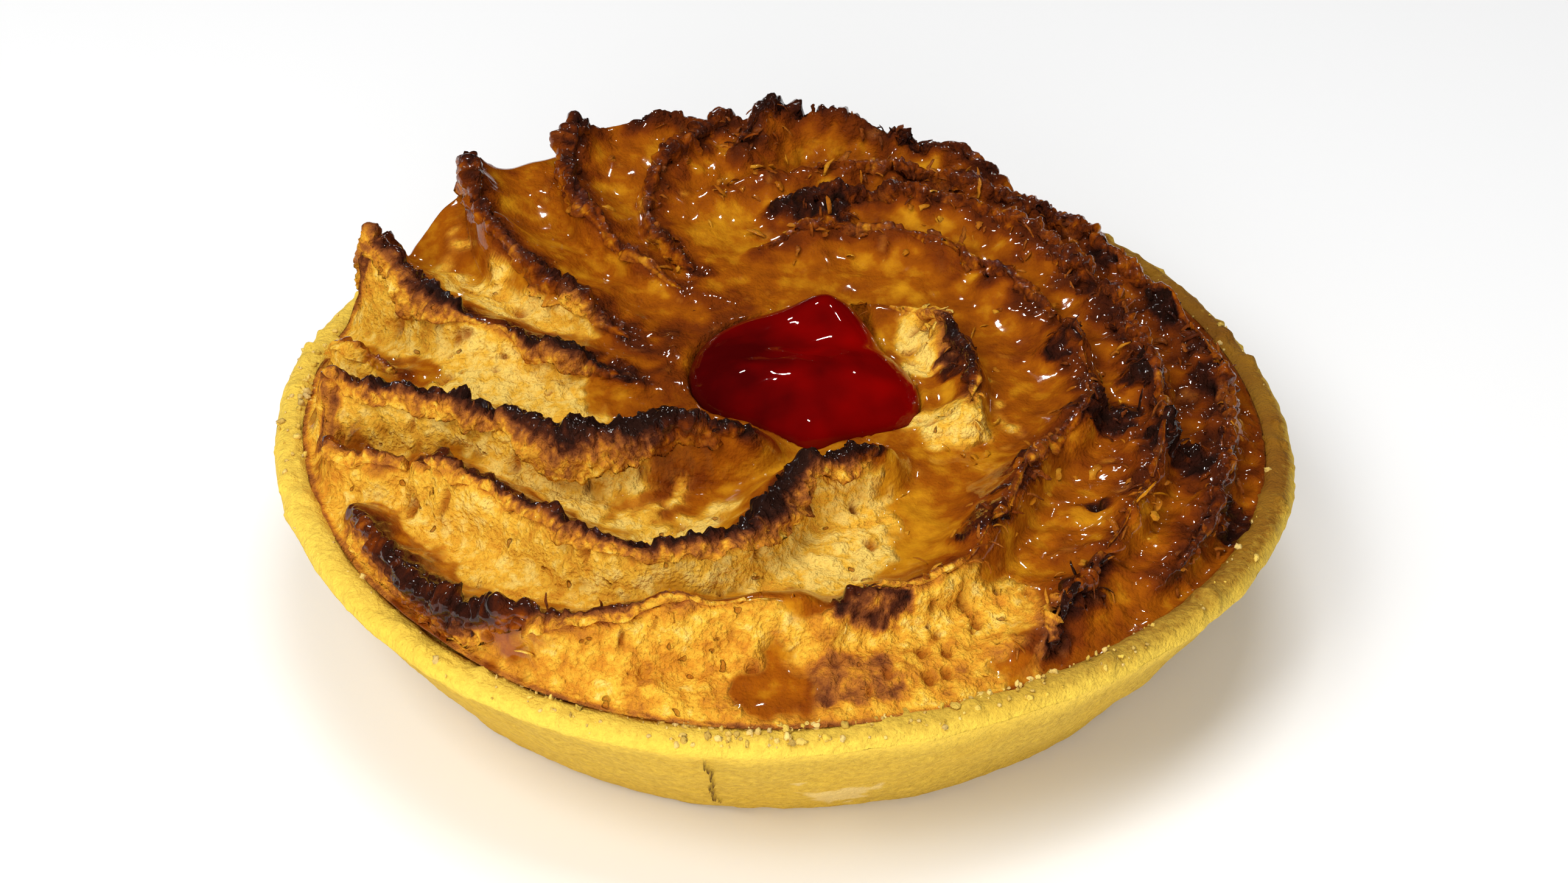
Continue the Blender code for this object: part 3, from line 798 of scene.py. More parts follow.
class Nodes:
    """Short calls for adding and joining shader nodes in one tree."""

    def __init__(self, tree: bpy.types.NodeTree) -> None:
        """Keeps the tree that the nodes go into."""
        self.tree = tree

    def join(self, node: bpy.types.Node, inputs: dict[str | int, object]) -> bpy.types.Node:
        """Sets or links a node's inputs.

        Args:
            node: The node.
            inputs: Sockets by name or number, each a value or an output socket to link.

        Returns:
            The same node.
        """
        for key, value in inputs.items():
            if isinstance(value, bpy.types.NodeSocket):
                self.tree.links.new(value, node.inputs[key])
            else:
                node.inputs[key].default_value = value
        return node

    def add(self, kind: str, inputs: dict[str | int, object], **settings: object) -> bpy.types.Node:
        """Adds a node of a Blender type, with its inputs and its properties."""
        node = self.tree.nodes.new(kind)
        for key, value in settings.items():
            setattr(node, key, value)
        return self.join(node, inputs)

    def math(
        self, operation: str, first: object, second: object, clamp: bool = False
    ) -> bpy.types.NodeSocket:
        """Adds a Math node and returns its output."""
        node = self.add("ShaderNodeMath", {0: first, 1: second}, operation=operation, use_clamp=clamp)
        return node.outputs[0]

    def spread(self, value: object, middle: float, gain: float, clamp: bool = False) -> bpy.types.NodeSocket:
        """Returns a gain times how far a value lies above a middle one."""
        return self.math("MULTIPLY", self.math("SUBTRACT", value, middle), gain, clamp)

    def place(self) -> bpy.types.NodeSocket:
        """Returns the Object coordinates."""
        return self.add("ShaderNodeTexCoord", {}).outputs["Object"]

    def noise(self, size: float, detail: float = 3.0, roughness: float = 0.55) -> bpy.types.NodeSocket:
        """Adds noise with lumps of a size in mm, and returns its value."""
        scale = 1.0 / (size * MM)
        inputs = {"Vector": self.place(), "Scale": scale, "Detail": detail, "Roughness": roughness}
        return self.add("ShaderNodeTexNoise", inputs).outputs["Fac"]

    def attribute(self, name: str) -> bpy.types.NodeSocket:
        """Adds a reader of a point attribute and returns its value."""
        return self.add("ShaderNodeAttribute", {}, attribute_name=name).outputs["Fac"]

    def ramp(self, factor: bpy.types.NodeSocket, stops: Stops) -> bpy.types.NodeSocket:
        """Adds a colour ramp with colours at places from 0 to 1, and returns its colour."""
        node = self.add("ShaderNodeValToRGB", {"Fac": factor})
        elements = node.color_ramp.elements
        elements.remove(elements[-1])
        elements[0].position = stops[0][0]
        elements[0].color = (*stops[0][1], 1.0)
        for place, colour in stops[1:]:
            elements.new(place).color = (*colour, 1.0)
        return node.outputs["Color"]

    def mix(self, factor: bpy.types.NodeSocket, first: object, second: object) -> bpy.types.NodeSocket:
        """Mixes two colours, each a plain one or a socket, and returns the mix."""
        first, second = ((*c, 1.0) if isinstance(c, tuple) else c for c in (first, second))
        return self.add("ShaderNodeMix", {0: factor, 6: first, 7: second}, data_type="RGBA").outputs[2]

    def bump(self, height: bpy.types.NodeSocket, depth: float) -> bpy.types.NodeSocket:
        """Adds a bump of a depth in mm and returns its normal."""
        inputs = {"Height": height, "Strength": 1.0, "Distance": depth * MM}
        return self.add("ShaderNodeBump", inputs).outputs["Normal"]


class Grain:
    """The baked grain that pastry and filling share, as one node group."""

    NAME = "baked_grain"
    DETAIL = {"Fine scale": 2.0, "Coarse scale": 3.0, "Blotch scale": 4.0}

    @classmethod
    def group(cls) -> bpy.types.NodeTree:
        """Builds the group once: two sizes of noise as a height, and a broad one as a mask.

        Returns:
            The group. Its inputs are sizes in metres to the minus one.
        """
        if cls.NAME in bpy.data.node_groups:
            return bpy.data.node_groups[cls.NAME]
        tree = bpy.data.node_groups.new(cls.NAME, "ShaderNodeTree")
        for key in cls.DETAIL:
            tree.interface.new_socket(name=key, in_out="INPUT", socket_type="NodeSocketFloat")
        for key in ("Height", "Blotch"):
            tree.interface.new_socket(name=key, in_out="OUTPUT", socket_type="NodeSocketFloat")
        nodes = Nodes(tree)
        entry = nodes.add("NodeGroupInput", {})
        place = nodes.place()
        fine, coarse, blotch = (
            nodes.add("ShaderNodeTexNoise", {"Vector": place, "Scale": entry.outputs[key], "Detail": detail})
            for key, detail in cls.DETAIL.items())
        fine = nodes.math("MULTIPLY", fine.outputs["Fac"], 0.4)
        coarse = nodes.math("MULTIPLY", coarse.outputs["Fac"], 0.6)
        height = nodes.math("ADD", fine, coarse)
        nodes.add("NodeGroupOutput", {"Height": height, "Blotch": blotch.outputs["Fac"]})
        return tree

    @classmethod
    def add(cls, nodes: Nodes, *sizes: float) -> tuple[bpy.types.NodeSocket, bpy.types.NodeSocket]:
        """Puts the group in a material, with fine, coarse and blotch sizes in mm, and returns its outputs."""
        inputs = {key: 1.0 / (size * MM) for key, size in zip(cls.DETAIL, sizes)}
        node = nodes.add("ShaderNodeGroup", {}, node_tree=cls.group())
        nodes.join(node, inputs)
        return node.outputs["Height"], node.outputs["Blotch"]


def new_material(name: str) -> tuple[bpy.types.Material, Nodes, bpy.types.Node]:
    """Makes a material and returns it with its nodes and its shader."""
    material = bpy.data.materials.new(name)
    material.use_nodes = True
    return material, Nodes(material.node_tree), material.node_tree.nodes["Principled BSDF"]


@dataclass(frozen=True)
class BakedFinish:
    """The baked coconut: bare crumb and glazed crumb, each from pale to toasted.

    Attributes:
        bare: Colours of unglazed crumb against toasting.
        glazed: Colours under the amber glaze against toasting.
        shaded_pore: Colour of the painted shade inside the pores.
        coat_roughness: Roughness of the glaze.
        coat_ior: Refractive index of the glaze.
        relief: Depth of the crumb's bump in mm.
        wrinkle: Depth of the wrinkles in the glaze over toasted places, in mm.
    """

    bare: Stops = (
        (0.0, (0.90, 0.60, 0.13)), (0.12, (0.82, 0.44, 0.040)), (0.28, (0.63, 0.25, 0.020)),
        (0.44, (0.40, 0.13, 0.020)), (0.60, (0.20, 0.056, 0.015)), (0.78, (0.075, 0.019, 0.008)),
        (1.0, (0.024, 0.009, 0.006)))
    glazed: Stops = (
        (0.0, (0.58, 0.24, 0.008)), (0.2, (0.32, 0.079, 0.003)), (0.4, (0.18, 0.033, 0.003)),
        (0.6, (0.085, 0.016, 0.004)), (0.8, (0.036, 0.009, 0.005)), (1.0, (0.016, 0.006, 0.004)))
    shaded_pore: Colour = (0.32, 0.075, 0.006)
    coat_roughness: float = 0.06
    coat_ior: float = 1.40
    relief: float = 0.75
    wrinkle: float = 0.5

    def material(self, name: str) -> bpy.types.Material:
        """Builds the material.

        Args:
            name: The material's name.

        Returns:
            A material that reads the attributes toast, glaze and shaded_pore, the last a mask of painted
            shade in the pores.
        """
        material, nodes, shader = new_material(name)
        grain, blotch = Grain.add(nodes, 0.26, 0.8, 4.0)
        toast, glaze = nodes.attribute("toast"), nodes.attribute("glaze")
        dry = nodes.math("SUBTRACT", 1.0, glaze, clamp=True)
        uneven = nodes.math("ADD", toast, nodes.spread(nodes.noise(1.4, 4.0, 0.6), 0.5, 0.40))
        uneven = nodes.math("ADD", uneven, nodes.spread(blotch, 0.5, 0.34))
        crumbs = nodes.math("MULTIPLY", self.crumbs(nodes, 1.2), 0.6)
        crumbs = nodes.math("ADD", crumbs, nodes.math("MULTIPLY", self.crumbs(nodes, 0.5), 0.4))
        # Darker between the crumbs: painted shade in the crevices.
        bare = nodes.math("ADD", uneven, nodes.spread(crumbs, 0.52, -0.25), clamp=True)
        colour = nodes.mix(glaze, nodes.ramp(bare, self.bare), nodes.ramp(uneven, self.glazed))
        # Openings and pores: small pits whose darker colour is painted shade.
        opening = nodes.spread(self.crumbs(nodes, 2.6), 0.94, 15.0, clamp=True)
        opening = nodes.math("MULTIPLY", opening, nodes.math("SUBTRACT", dry, toast, clamp=True))
        pore_shade = nodes.math("MAXIMUM", nodes.attribute("shaded_pore"), opening)
        pore_shade = nodes.math("MULTIPLY", pore_shade, 0.85, clamp=True)
        raised = nodes.math("MAXIMUM", dry, nodes.math("MULTIPLY", toast, 1.3), clamp=True)
        raised = nodes.math("ADD", 0.14, nodes.math("MULTIPLY", raised, 0.86))
        height = nodes.math("ADD", grain, nodes.math("MULTIPLY", crumbs, 0.28))
        height = nodes.math("SUBTRACT", height, nodes.math("MULTIPLY", opening, 0.5))
        cluster = nodes.spread(nodes.noise(3.4, 1.0), 0.46, 5.0, clamp=True)
        cluster = nodes.math("ADD", 0.25, nodes.math("MULTIPLY", cluster, 0.75))
        wrinkle = nodes.math("MULTIPLY", nodes.spread(toast, 0.36, 1.6, clamp=True), cluster)
        wrinkle = nodes.math("ADD", 0.015, wrinkle)
        wrinkle = nodes.math("MULTIPLY", nodes.noise(1.0, 1.0, 0.4), wrinkle)
        nodes.join(shader, {
            "Base Color": nodes.mix(pore_shade, colour, self.shaded_pore),
            "Roughness": nodes.math("SUBTRACT", 0.80, nodes.math("MULTIPLY", glaze, 0.34)),
            "Specular IOR Level": 0.0,
            "Coat Weight": glaze,
            "Coat Roughness": self.coat_roughness,
            "Coat IOR": self.coat_ior,
            "Normal": nodes.bump(nodes.math("MULTIPLY", height, raised), self.relief),
            "Coat Normal": nodes.bump(wrinkle, self.wrinkle),
        })
        return material

    def crumbs(self, nodes: Nodes, size: float) -> bpy.types.NodeSocket:
        """Adds packed crumbs: round cells drawn out of shape by noise.

        Args:
            nodes: The material's nodes.
            size: Size of a crumb in mm.

        Returns:
            1 in the middle of a crumb and 0 between crumbs.
        """
        place = nodes.place()
        scale = 1.0 / (size * MM)
        drift = nodes.add("ShaderNodeTexNoise", {"Vector": place, "Scale": scale, "Detail": 3.0})
        drift = nodes.add(
            "ShaderNodeVectorMath", {0: drift.outputs["Color"], 1: (0.5, 0.5, 0.5)}, operation="SUBTRACT")
        drift = nodes.add(
            "ShaderNodeVectorMath", {0: drift.outputs[0], "Scale": 1.3 * size * MM}, operation="SCALE")
        moved = nodes.add("ShaderNodeVectorMath", {0: place, 1: drift.outputs[0]}, operation="ADD")
        cells = nodes.add("ShaderNodeTexVoronoi", {"Vector": moved.outputs[0], "Scale": scale}, feature="F1")
        ends = {"From Min": 0.1, "From Max": 0.75, "To Min": 1.0, "To Max": 0.0}
        away = nodes.add("ShaderNodeMapRange", {"Value": cells.outputs["Distance"], **ends})
        return away.outputs["Result"]


@dataclass(frozen=True)
class PastryFinish:
    """Shortcrust: sandy and matt, darker along the rim by browning and by painted shade.

    Attributes:
        pale: Colour of the wall.
        deep: Colour of the browned rim, also used for its painted shade.
        blush: Colour of the browner blotches.
        cracked: Colour inside the crack.
        chipped: Colour of the chip and of pale crumbs.
        relief: Depth of the grain's bump in mm.
    """

    pale: Colour = (0.86, 0.58, 0.072)
    deep: Colour = (0.21, 0.080, 0.005)
    blush: Colour = (0.74, 0.43, 0.03)
    cracked: Colour = (0.10, 0.03, 0.006)
    chipped: Colour = (0.86, 0.66, 0.30)
    relief: float = 0.40

    def material(self, name: str) -> bpy.types.Material:
        """Builds the material, which reads the attributes rim and flaw; rim holds the rim's browning and its
        painted shade.
        """
        material, nodes, shader = new_material(name)
        grain, blotch = Grain.add(nodes, 0.22, 0.7, 9.0)
        flaw = nodes.attribute("flaw")
        speck = nodes.spread(nodes.noise(0.5, 3.0), 0.5, 0.7)
        # The rim attribute mixes in the deep colour: browning plus painted shade on the right side and the
        # inner edge.
        edge = nodes.math("ADD", nodes.attribute("rim"), speck, clamp=True)
        colour = nodes.mix(edge, self.pale, self.deep)
        blush = nodes.math("MULTIPLY", nodes.spread(blotch, 0.45, 2.0, clamp=True), 0.45)
        colour = nodes.mix(blush, colour, self.blush)
        colour = nodes.mix(nodes.math("MAXIMUM", flaw, 0.0, clamp=True), colour, self.cracked)
        chip = nodes.math("MULTIPLY", flaw, -1.0, clamp=True)
        nodes.join(shader, {
            "Base Color": nodes.mix(chip, colour, self.chipped),
            "Roughness": 0.75,
            "Specular IOR Level": 0.15,
            "Normal": nodes.bump(grain, self.relief),
        })
        return material


@dataclass(frozen=True)
class CherryFinish:
    """Glace cherry: deep clear red with a wet coat.

    Attributes:
        deep: Colour where it is thick, and of the painted shade on its left side.
        bright: Colour where it is thin, and of the painted glow of light on its right side.
    """

    deep: Colour = (0.060, 0.0008, 0.001)
    bright: Colour = (0.24, 0.0008, 0.0006)

    def material(self, name: str) -> bpy.types.Material:
        """Builds the material, which reads the attribute glow_and_thin: painted glow on the right side and
        thin places.
        """
        material, nodes, shader = new_material(name)
        cloud = nodes.spread(nodes.noise(2.4, 3.0), 0.5, 0.5)
        factor = nodes.math("ADD", nodes.attribute("glow_and_thin"), cloud, clamp=True)
        nodes.join(shader, {
            "Base Color": nodes.mix(factor, self.deep, self.bright),
            "Roughness": 0.5,
            "Specular IOR Level": 0.0,
            "Coat Weight": 1.0,
            "Coat Roughness": 0.03,
            "Coat IOR": 1.33,
            "Normal": nodes.bump(nodes.noise(1.1, 2.0), 0.05),
        })
        return material


def dress(piece: bpy.types.Object, material: bpy.types.Material, slot: Slot, *nodes: str) -> bpy.types.Object:
    """Gives a piece its material and body, and hides the nodes that it stands for."""
    piece.data.materials.append(material)
    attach(piece, "root")
    if nodes:
        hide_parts(*nodes)
    return piece


def arc(centre: tuple[float, float], radius: float, ends: tuple[float, float], count: int) -> np.ndarray:
    """Rows of radius and height along an arc, with its ends in degrees."""
    turn = np.radians(np.linspace(*ends, count))
    return np.stack([centre[0] + radius * np.cos(turn), centre[1] + radius * np.sin(turn)], axis=1)


def flat(start: float, stop: float, height: float, count: int) -> np.ndarray:
    """Rows of radius and height along a level stretch."""
    return np.stack([np.linspace(start, stop, count), np.full(count, height)], axis=1)


@dataclass
class PastryCase:
    """The shortcrust case.

    Attributes:
        columns: Vertices round it, more of them close to the crack.
        hub: Radius of the innermost rings of the floor and the base.
        rim_band: Height of the band under the rim that is worn, browned and given painted shade.
        crack_azimuth: Azimuth in degrees of the fine crack in the wall.
        crack_width: Half width of the crack.
        crack_depth: Depth of the crack.
        crack_ends: Heights of the crack's lower and upper end.
        crack_reach: How far from the crack the vertices draw together, in radians.
        crack_pull: How much they draw together, as a share of that.
        chip_azimuth: Azimuth in degrees of the pale chip.
        chip_height: Height of the chip's middle.
        chip_size: Half width and half height of the chip.
        grain: The sandy grain.
        lumps: Low lumps all over.
        swell: Broad unevenness, less of it on the rim.
        wear: Where the rim has crumbled away.
    """

    columns: int = 660
    hub: float = 4.0
    rim_band: float = 1.6
    crack_azimuth: float = -97.3
    crack_width: float = 0.07
    crack_depth: float = 0.5
    crack_ends: tuple[float, float] = (1.6, 11.8)
    crack_reach: float = 0.12
    crack_pull: float = 0.85
    chip_azimuth: float = -81.9
    chip_height: float = 3.0
    chip_size: tuple[float, float] = (2.1, 1.75)
    grain: Relief = Relief(0.07, 1.2, 2, 41)
    lumps: Relief = Relief(0.12, 3.5, 2, 43)
    swell: Relief = Relief(0.22, 9.0, 2, 47)
    wear: Relief = Relief(1.0, 2.2, 2, 53, craggy=True)

    def profile(self) -> np.ndarray:
        """Runs round the case's section from the floor's centre over the rim to the base's centre.

        Returns:
            Rows of radius and height in mm.
        """
        level = CASE_HEIGHT - RIM_ROUND
        left, right = RIM_RADIUS - RIM_WIDTH + RIM_ROUND, RIM_RADIUS - RIM_ROUND
        inside = np.linspace(FLOOR_THICKNESS, level, 14)
        wall = np.linspace(level, FOOT_ROUND, 62)[1:]
        return np.concatenate([
            flat(self.hub, wall_radius(inside[0]) - RIM_WIDTH - 1.0, FLOOR_THICKNESS, 6),
            np.stack([wall_radius(inside) - RIM_WIDTH, inside], axis=1),
            arc((left, level), RIM_ROUND, (180.0, 90.0), 8),
            flat(left, right, CASE_HEIGHT, 8)[1:-1],
            arc((right, level), RIM_ROUND, (90.0, 0.0), 10),
            np.stack([wall_radius(wall), wall], axis=1),
            arc((BASE_RADIUS - FOOT_ROUND, FOOT_ROUND), FOOT_ROUND, (0.0, -90.0), 6)[1:],
            flat(BASE_RADIUS - 2.0, self.hub, 0.0, 10)])

    def azimuths(self) -> np.ndarray:
        """Even steps all round, drawn together near the crack."""
        even = np.linspace(-math.pi, math.pi, self.columns, endpoint=False)
        pull = self.crack_pull * self.crack_reach
        near = even - pull * np.tanh(even / self.crack_reach)
        return near * math.pi / (math.pi - pull) + math.radians(self.crack_azimuth)

    def build(self) -> bpy.types.Object:
        """Turns the profile round Z, then adds lobes, dips, grain, wear and the crack.

        Returns:
            The case's piece.
        """
        profile = self.profile()
        r, a = np.broadcast_arrays(profile[:, :1], self.azimuths()[None, :])
        grid = np.stack([r * np.cos(a), r * np.sin(a), np.broadcast_to(profile[:, 1:], r.shape)], axis=-1)
        rows, columns = r.shape
        normal, points = grid_normals(grid).reshape(-1, 3), grid.reshape(-1, 3)
        radius, z = np.hypot(points[:, 0], points[:, 1]), points[:, 2]
        over_band = z - (CASE_HEIGHT - self.rim_band)
        rim = smoothstep(over_band / 1.2)
        push = self.grain.at(points) + self.lumps.at(points) + self.swell.at(points) * (1.0 - 0.4 * rim)
        push = push - 0.40 * rim * np.clip(self.wear.at(points) - 0.25, 0.0, 1.0)
        flaw, groove = self.crack(points)
        push = push * smoothstep(z / 0.5) - groove
        points = points + normal * push[:, None]
        azimuth = np.arctan2(points[:, 1], points[:, 0])
        dip = rim_dip(azimuth) * smoothstep((z / CASE_HEIGHT - 0.7) / 0.3)
        x, y = out_of_round(points[:, 0], points[:, 1], z)
        points = np.stack([x, y, np.maximum(points[:, 2] - dip, 0.0)], axis=1)
        centres = np.array([[0.0, 0.0, FLOOR_THICKNESS], [0.0, 0.0, 0.0]])
        ring, count = np.arange(columns), rows * columns
        base_fan = fan(ring + count - columns, count + 1)[:, ::-1]
        faces = [grid_faces(rows, columns, True)[:, ::-1], fan(ring, count), base_fan]
        # Rim colour mask: browning of the rim, plus painted shade that darkens the right side, away from the
        # key light, and the inner edge and inner side where the filling meets the rim; both fade towards the
        # outer edge.
        inward = smoothstep((RIM_RADIUS - 0.9 - radius) / 1.6)
        outward = smoothstep((RIM_RADIUS + 0.1 - radius) / 1.0)
        shaded = 0.5 + 0.5 * np.cos(azimuth - math.radians(10.0))
        shade = smoothstep(over_band / 1.5) * (0.15 + 0.16 * inward + 0.95 * shaded**2.2)
        shade = shade * (0.35 + 0.65 * outward) + 0.4 * inward * smoothstep((CASE_HEIGHT - 0.35 - z) / 0.5)
        values = {"rim": np.concatenate([shade, [1.0, 0.0]]), "flaw": np.concatenate([flaw, [0.0, 0.0]])}
        return mesh_object("pastry_case_crust", np.concatenate([points, centres]), faces, values)

    def crack(self, points: np.ndarray) -> tuple[np.ndarray, np.ndarray]:
        """Cuts the fine crack, a groove about a wavering upright line, and marks a pale chip by the base.

        Args:
            points: Points of the case in mm.

        Returns:
            The flaw mask, above 0 in the crack and below 0 on the chip, and the groove's depth.
        """
        azimuth = np.arctan2(points[:, 1], points[:, 0])
        radius = np.hypot(points[:, 0], points[:, 1])
        z = points[:, 2]
        outside = radius > wall_radius(z) - 0.6
        along = (azimuth - math.radians(self.crack_azimuth)) * radius
        waver = 0.20 * np.sin(z * 0.9 + 0.6) + 0.12 * np.sin(z * 2.9 + 1.0) + 0.05 * np.sin(z * 8.0)
        foot, top = self.crack_ends
        reach = smoothstep((z - foot) / 1.5) * smoothstep((top - z) / 1.5)
        width = self.crack_width * (0.6 + 0.5 * np.sin(z * 2.1 + 0.5) ** 2)
        near = np.exp(-(((along - waver) / width) ** 2)) * reach * outside
        across, up = (azimuth - math.radians(self.chip_azimuth)) * radius, z - self.chip_height
        slant = np.abs(across + 0.25 * up) / (self.chip_size[0] + 0.45 * up)
        uneven = 1.0 + 0.5 * fractal(points, 1.2, 2, 59)
        away = np.maximum(slant, np.abs(up) / self.chip_size[1]) * uneven
        return near - 0.5 * smoothstep((1.0 - away) * 5.0) * outside, self.crack_depth * near


def disc_grid(cells: int) -> tuple[np.ndarray, np.ndarray, np.ndarray]:
    """Squeezes a square grid into a disc: each square ring becomes a circle, with its points spaced evenly.

    Args:
        cells: Cells along each side of the square.

    Returns:
        Points in the unit disc, the quads between them, and the vertex numbers round the edge.
    """
    side = np.linspace(-1.0, 1.0, cells + 1)
    a, b = np.meshgrid(side, side)
    wide = np.abs(a) > np.abs(b)
    radius = np.where(wide, a, b)
    with np.errstate(divide="ignore", invalid="ignore"):
        turn = np.where(wide, math.pi / 4 * b / a, math.pi / 2 - math.pi / 4 * a / b)
    turn = np.where(radius == 0.0, 0.0, turn)
    points = np.stack([radius * np.cos(turn), radius * np.sin(turn)], axis=-1).reshape(-1, 2)
    number = np.arange((cells + 1) ** 2).reshape(cells + 1, cells + 1)
    edge = np.concatenate([number[0, :-1], number[:-1, -1], number[-1, :0:-1], number[:0:-1, 0]])
    return points, grid_faces(cells + 1, cells + 1, False), edge


@dataclass
class CoconutFilling:
    """The filling's baked body, with its pores.

    Attributes:
        shape: The filling's form.
        cells: Cells across the top's grid.
        pores: How many pores are tried.
        seed: Seed of the pores' places.
        wall_heights: Heights of the rings of points down its side.
        broad: Broad lumps all over.
        glazed: Low lumps under the glaze.
        crumb: Crumb on the bare, torn and toasted parts.
        bare_lumps: Lumps of the bare crumb.
        torn_lumps: Lumps of the torn right.
        toasted_lumps: Lumps of the toasted crests.
    """

    shape: FillingShape
    cells: int = 290
    pores: int = 420
    seed: int = 5
    wall_heights: tuple[float, ...] = (12.9, 12.0, 9.0, 5.6, FLOOR_THICKNESS + GAP)
    broad: Relief = Relief(0.28, 4.2, 2, 61)
    glazed: Relief = Relief(0.05, 1.9, 1, 69)
    crumb: Relief = Relief(1.0, 1.2, 2, 67)
    bare_lumps: Relief = Relief(0.20, 2.6, 2, 73, craggy=True)
    torn_lumps: Relief = Relief(0.34, 3.2, 2, 79, craggy=True)
    toasted_lumps: Relief = Relief(0.34, 1.4, 2, 71, craggy=True)

    def pits(self, x: np.ndarray, y: np.ndarray) -> np.ndarray:
        """Opens small round and drop-shaped pores.

        Args:
            x: Plan points in mm.
            y: Plan points in mm.

        Returns:
            0 off the pores and 1 in their middles: the largest bell curve of the distance to each pore, with
            noise on the distance.
        """
        draw = np.random.default_rng(self.seed)
        deep = np.zeros_like(x)
        turn = draw.uniform(0.0, 2 * math.pi, self.pores)
        radius = 36.0 * np.sqrt(draw.uniform(0.05, 1.0, self.pores))
        size = 0.17 + 0.34 * draw.uniform(0.0, 1.0, self.pores) ** 2.2
        stretch = draw.uniform(1.0, 1.5, self.pores)
        jag = 1.0 + 0.55 * fractal(np.stack([x, y, np.zeros_like(x)], axis=1), 0.7, 2, 37)
        for at, out, width, long in zip(turn, radius, size, stretch):
            dx, dy = x - out * math.cos(at), y - out * math.sin(at)
            close = np.nonzero((np.abs(dx) < 2.0) & (np.abs(dy) < 2.0))[0]
            radial = dx[close] * math.cos(at) + dy[close] * math.sin(at)
            around = dy[close] * math.cos(at) - dx[close] * math.sin(at)
            away = ((radial / (width * long)) ** 2 + (around / width) ** 2) * jag[close]
            deep[close] = np.maximum(deep[close], np.exp(-(away**2)))
        return deep

    def walls(self, rim: np.ndarray) -> np.ndarray:
        """Rings of points down the filling's side, under its edge, and the middle of its underside.

        Args:
            rim: Points of the edge in mm.

        Returns:
            Points in mm, ring by ring.
        """
        azimuth = np.arctan2(rim[:, 1], rim[:, 0])
        rings = []
        for height in self.wall_heights:
            radius = float(wall_radius(np.array(height))) - RIM_WIDTH - GAP
            z = np.full_like(azimuth, height)
            x, y = out_of_round(radius * np.cos(azimuth), radius * np.sin(azimuth), z)
            rings.append(np.stack([x, y, z], axis=1))
        return np.concatenate([*rings, [[0.0, 0.0, FLOOR_THICKNESS + GAP]]])

    def build(self) -> bpy.types.Object:
        """Lays the baked top over a disc, roughens it along its normals, and closes it down to the floor.

        Returns:
            The filling's piece.
        """
        unit, quads, edge = disc_grid(self.cells)
        reach = self.shape.edge_reach
        x, y = unit[:, 0] * reach, unit[:, 1] * reach
        baked = self.shape.bake(x, y)
        out = np.hypot(x, y)
        inside = smoothstep((reach - out) / 1.2)
        lip = 0.35 * self.shape.front(x, y) * smoothstep((out - reach + 3.0) / 1.6) * inside
        points = np.stack([x + baked.lean[:, 0], y + baked.lean[:, 1], baked.height + lip], axis=1)
        normal = grid_normals(points.reshape(self.cells + 1, self.cells + 1, 3)).reshape(-1, 3)
        bare = 1.0 - baked.glaze
        dark = smoothstep((baked.toast - 0.35) / 0.4)
        # Pore mask: sinks the pores and marks them for painted shade in the material.
        shaded_pore = self.pits(x, y) * smoothstep((bare - 0.3) / 0.4) * (1.0 - dark)
        rough = self.shape.torn.at(x, y)
        push = self.broad.at(points) + (1.0 - bare) * self.glazed.at(points)
        push += (0.22 * bare + 0.12 * rough + 0.10 * dark) * self.crumb.at(points)
        push += bare * self.bare_lumps.at(points) + rough * self.torn_lumps.at(points)
        push += (dark + 0.25 * rough) * self.toasted_lumps.at(points) - 0.55 * shaded_pore
        top = self.shape.seat(points + normal * (push * inside)[:, None])
        lower = self.walls(top[edge])
        count = len(edge)
        number = np.concatenate([edge, len(top) + np.arange(len(lower) - 1)]).reshape(-1, count)
        upper, under = number[:-1], number[1:]
        beside = [upper, under, np.roll(under, -1, axis=1), np.roll(upper, -1, axis=1)]
        base_fan = fan(number[-1], len(top) + len(lower) - 1)[:, ::-1]
        faces = [quads, np.stack(beside, axis=-1).reshape(-1, 4), base_fan]
        hidden = {"toast": 0.5, "glaze": 0.0, "shaded_pore": 0.0}
        shown = {"toast": baked.toast, "glaze": baked.glaze, "shaded_pore": shaded_pore}
        values = {key: np.concatenate([shown[key], np.full(len(lower), hidden[key])]) for key in shown}
        return mesh_object("baked_filling", np.concatenate([top, lower]), faces, values)


